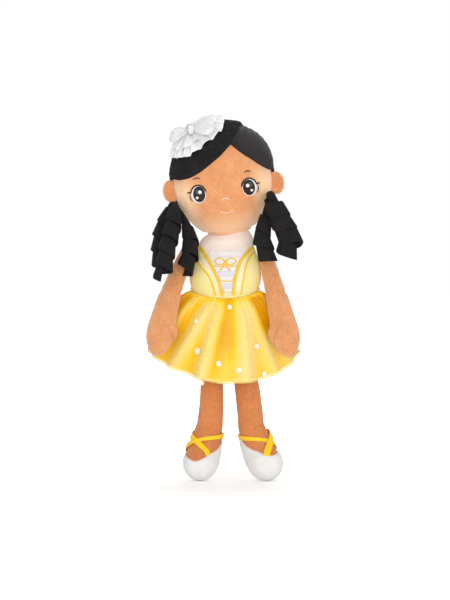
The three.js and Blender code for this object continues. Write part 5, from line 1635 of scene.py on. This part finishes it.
@dataclass
class Studio:
    """Camera, lamps, floor and a white surround."""

    photo_high: float = 0.6085
    centre: tuple = (0.0008, 0.0, 0.182)
    lens: float = 120.0
    sensor: float = 36
    elevation: float = 3.0
    aim: float = 0.19
    daylight: float = 0.66
    lamps: tuple = (
        ("key lamp", (-0.5, -1.8, 0.8), 1.3, 5.6),
        ("fill lamp", (1.1, -1.6, 0.4), 1.3, 5.6),
        ("front lamp", (0.1, -2.0, 0.22), 0.7, 14.5),
        ("top lamp", (0.0, 0.6, 1.6), 1.2, 5.0),
        ("back lamp", (0.3, 1.9, 0.8), 1.4, 8.0),
    )

    def camera(self) -> None:
        """A long lens at the photograph's angle: one pixel of the photograph is one millimetre."""
        data = bpy.data.cameras.new("camera")
        data.lens = self.lens
        data.sensor_fit = "VERTICAL"
        data.sensor_height = self.sensor
        distance = self.photo_high * self.lens / self.sensor
        lift = math.radians(self.elevation)
        obj = bpy.data.objects.new("camera", data)
        x, y, z = self.centre
        obj.location = (x, y - distance * math.cos(lift), z + distance * math.sin(lift))
        obj.rotation_euler = (math.pi / 2 - lift, 0, 0)
        bpy.context.scene.collection.objects.link(obj)
        bpy.context.scene.camera = obj

    def lamp(self, name: str, place: Sequence[float], size: float, power: float) -> None:
        """A square soft lamp that faces the doll's middle: its place and size in metres, its watts."""
        data = bpy.data.lights.new(name, "AREA")
        data.size = size
        data.energy = power
        obj = bpy.data.objects.new(name, data)
        way = np.array([0, 0, self.aim]) - np.array(place)
        across = math.hypot(way[0], way[1])
        obj.location = place
        obj.rotation_euler = (math.pi / 2 + math.atan2(way[2], across), 0, math.atan2(-way[0], way[1]))
        bpy.context.scene.collection.objects.link(obj)

    def surround(self) -> None:
        """A white world for the camera and for glints, and a softer one for the light."""
        world = bpy.data.worlds.new("surround")
        bpy.context.scene.world = world
        world.use_nodes = True
        s = Shader(world.node_tree)
        path = s.node("ShaderNodeLightPath").outputs
        seen = s.math("MAXIMUM", path["Is Camera Ray"], path["Is Transmission Ray"])
        back = world.node_tree.nodes["Background"]
        back.inputs["Color"].default_value = (1, 1, 1, 1)
        strength = s.node("ShaderNodeMapRange", {0: seen, 3: self.daylight, 4: 1.0}).outputs[0]
        s.tree.links.new(strength, back.inputs["Strength"])

    def floor(self) -> None:
        """A pale floor that keeps the shadow and looks white to the camera elsewhere."""
        size = 4000.0
        k = np.linspace(-size, size, 9)
        points = stack(k[None, :], -k[:, None], -0.3)
        obj = Mesh.grid("floor", points, round_=False, poles=(False, False))
        material = bpy.data.materials.new("floor")
        material.use_nodes = True
        s = Shader(material.node_tree)
        bsdf = material.node_tree.nodes["Principled BSDF"]
        where = s.node("ShaderNodeTexCoord").outputs["Object"]
        tone = s.mix(s.noise(where, 3.0), (0.9, 0.9, 0.9, 1), (0.94, 0.94, 0.94, 1))
        s.tree.links.new(tone, bsdf.inputs["Base Color"])
        bsdf.inputs["Roughness"].default_value = 1.0
        bsdf.inputs["Emission Color"].default_value = (1, 1, 1, 1)
        seen = s.node("ShaderNodeLightPath").outputs["Is Camera Ray"]
        away = s.node("ShaderNodeVectorMath", {0: where}, operation="LENGTH").outputs["Value"]
        glow = s.node("ShaderNodeMapRange", {0: away, 1: 0.12, 2: 0.5, 3: 0.22, 4: 1.0}).outputs[0]
        s.tree.links.new(s.math("MULTIPLY", seen, glow), bsdf.inputs["Emission Strength"])
        obj.data.materials.append(material)

    def build(self) -> None:
        """Sets the studio."""
        self.camera()
        self.surround()
        self.floor()
        for lamp in self.lamps:
            self.lamp(*lamp)
        bpy.context.scene.view_settings.view_transform = "Standard"


def main() -> None:
    """Dresses the frame and sets the studio."""
    logging.basicConfig(level=logging.INFO, format="%(name)s: %(message)s")
    Studio().build()
    torso = Torso()
    torso.build()
    Skirt(torso).build()
    gusset()
    for side, spread, bow in (("left", 15.5, 4.2), ("right", 13.3, 1.2)):
        Arm(side, spread=spread, bow=bow).build()
        Bunch(side, RINGLETS[side]).build()
    Leg("left", spread=3.2, splay=9, knee=11.6, bow=2.2).build()
    Leg("right", spread=6, splay=18, knee=12.6, bow=1.6, rim=(24.7, 7.9, 14.8, -6.2)).build()
    head = Head()
    head.build()
    Hair(head).build()
    HairBow(head).build()


if __name__ == "__main__":
    main()
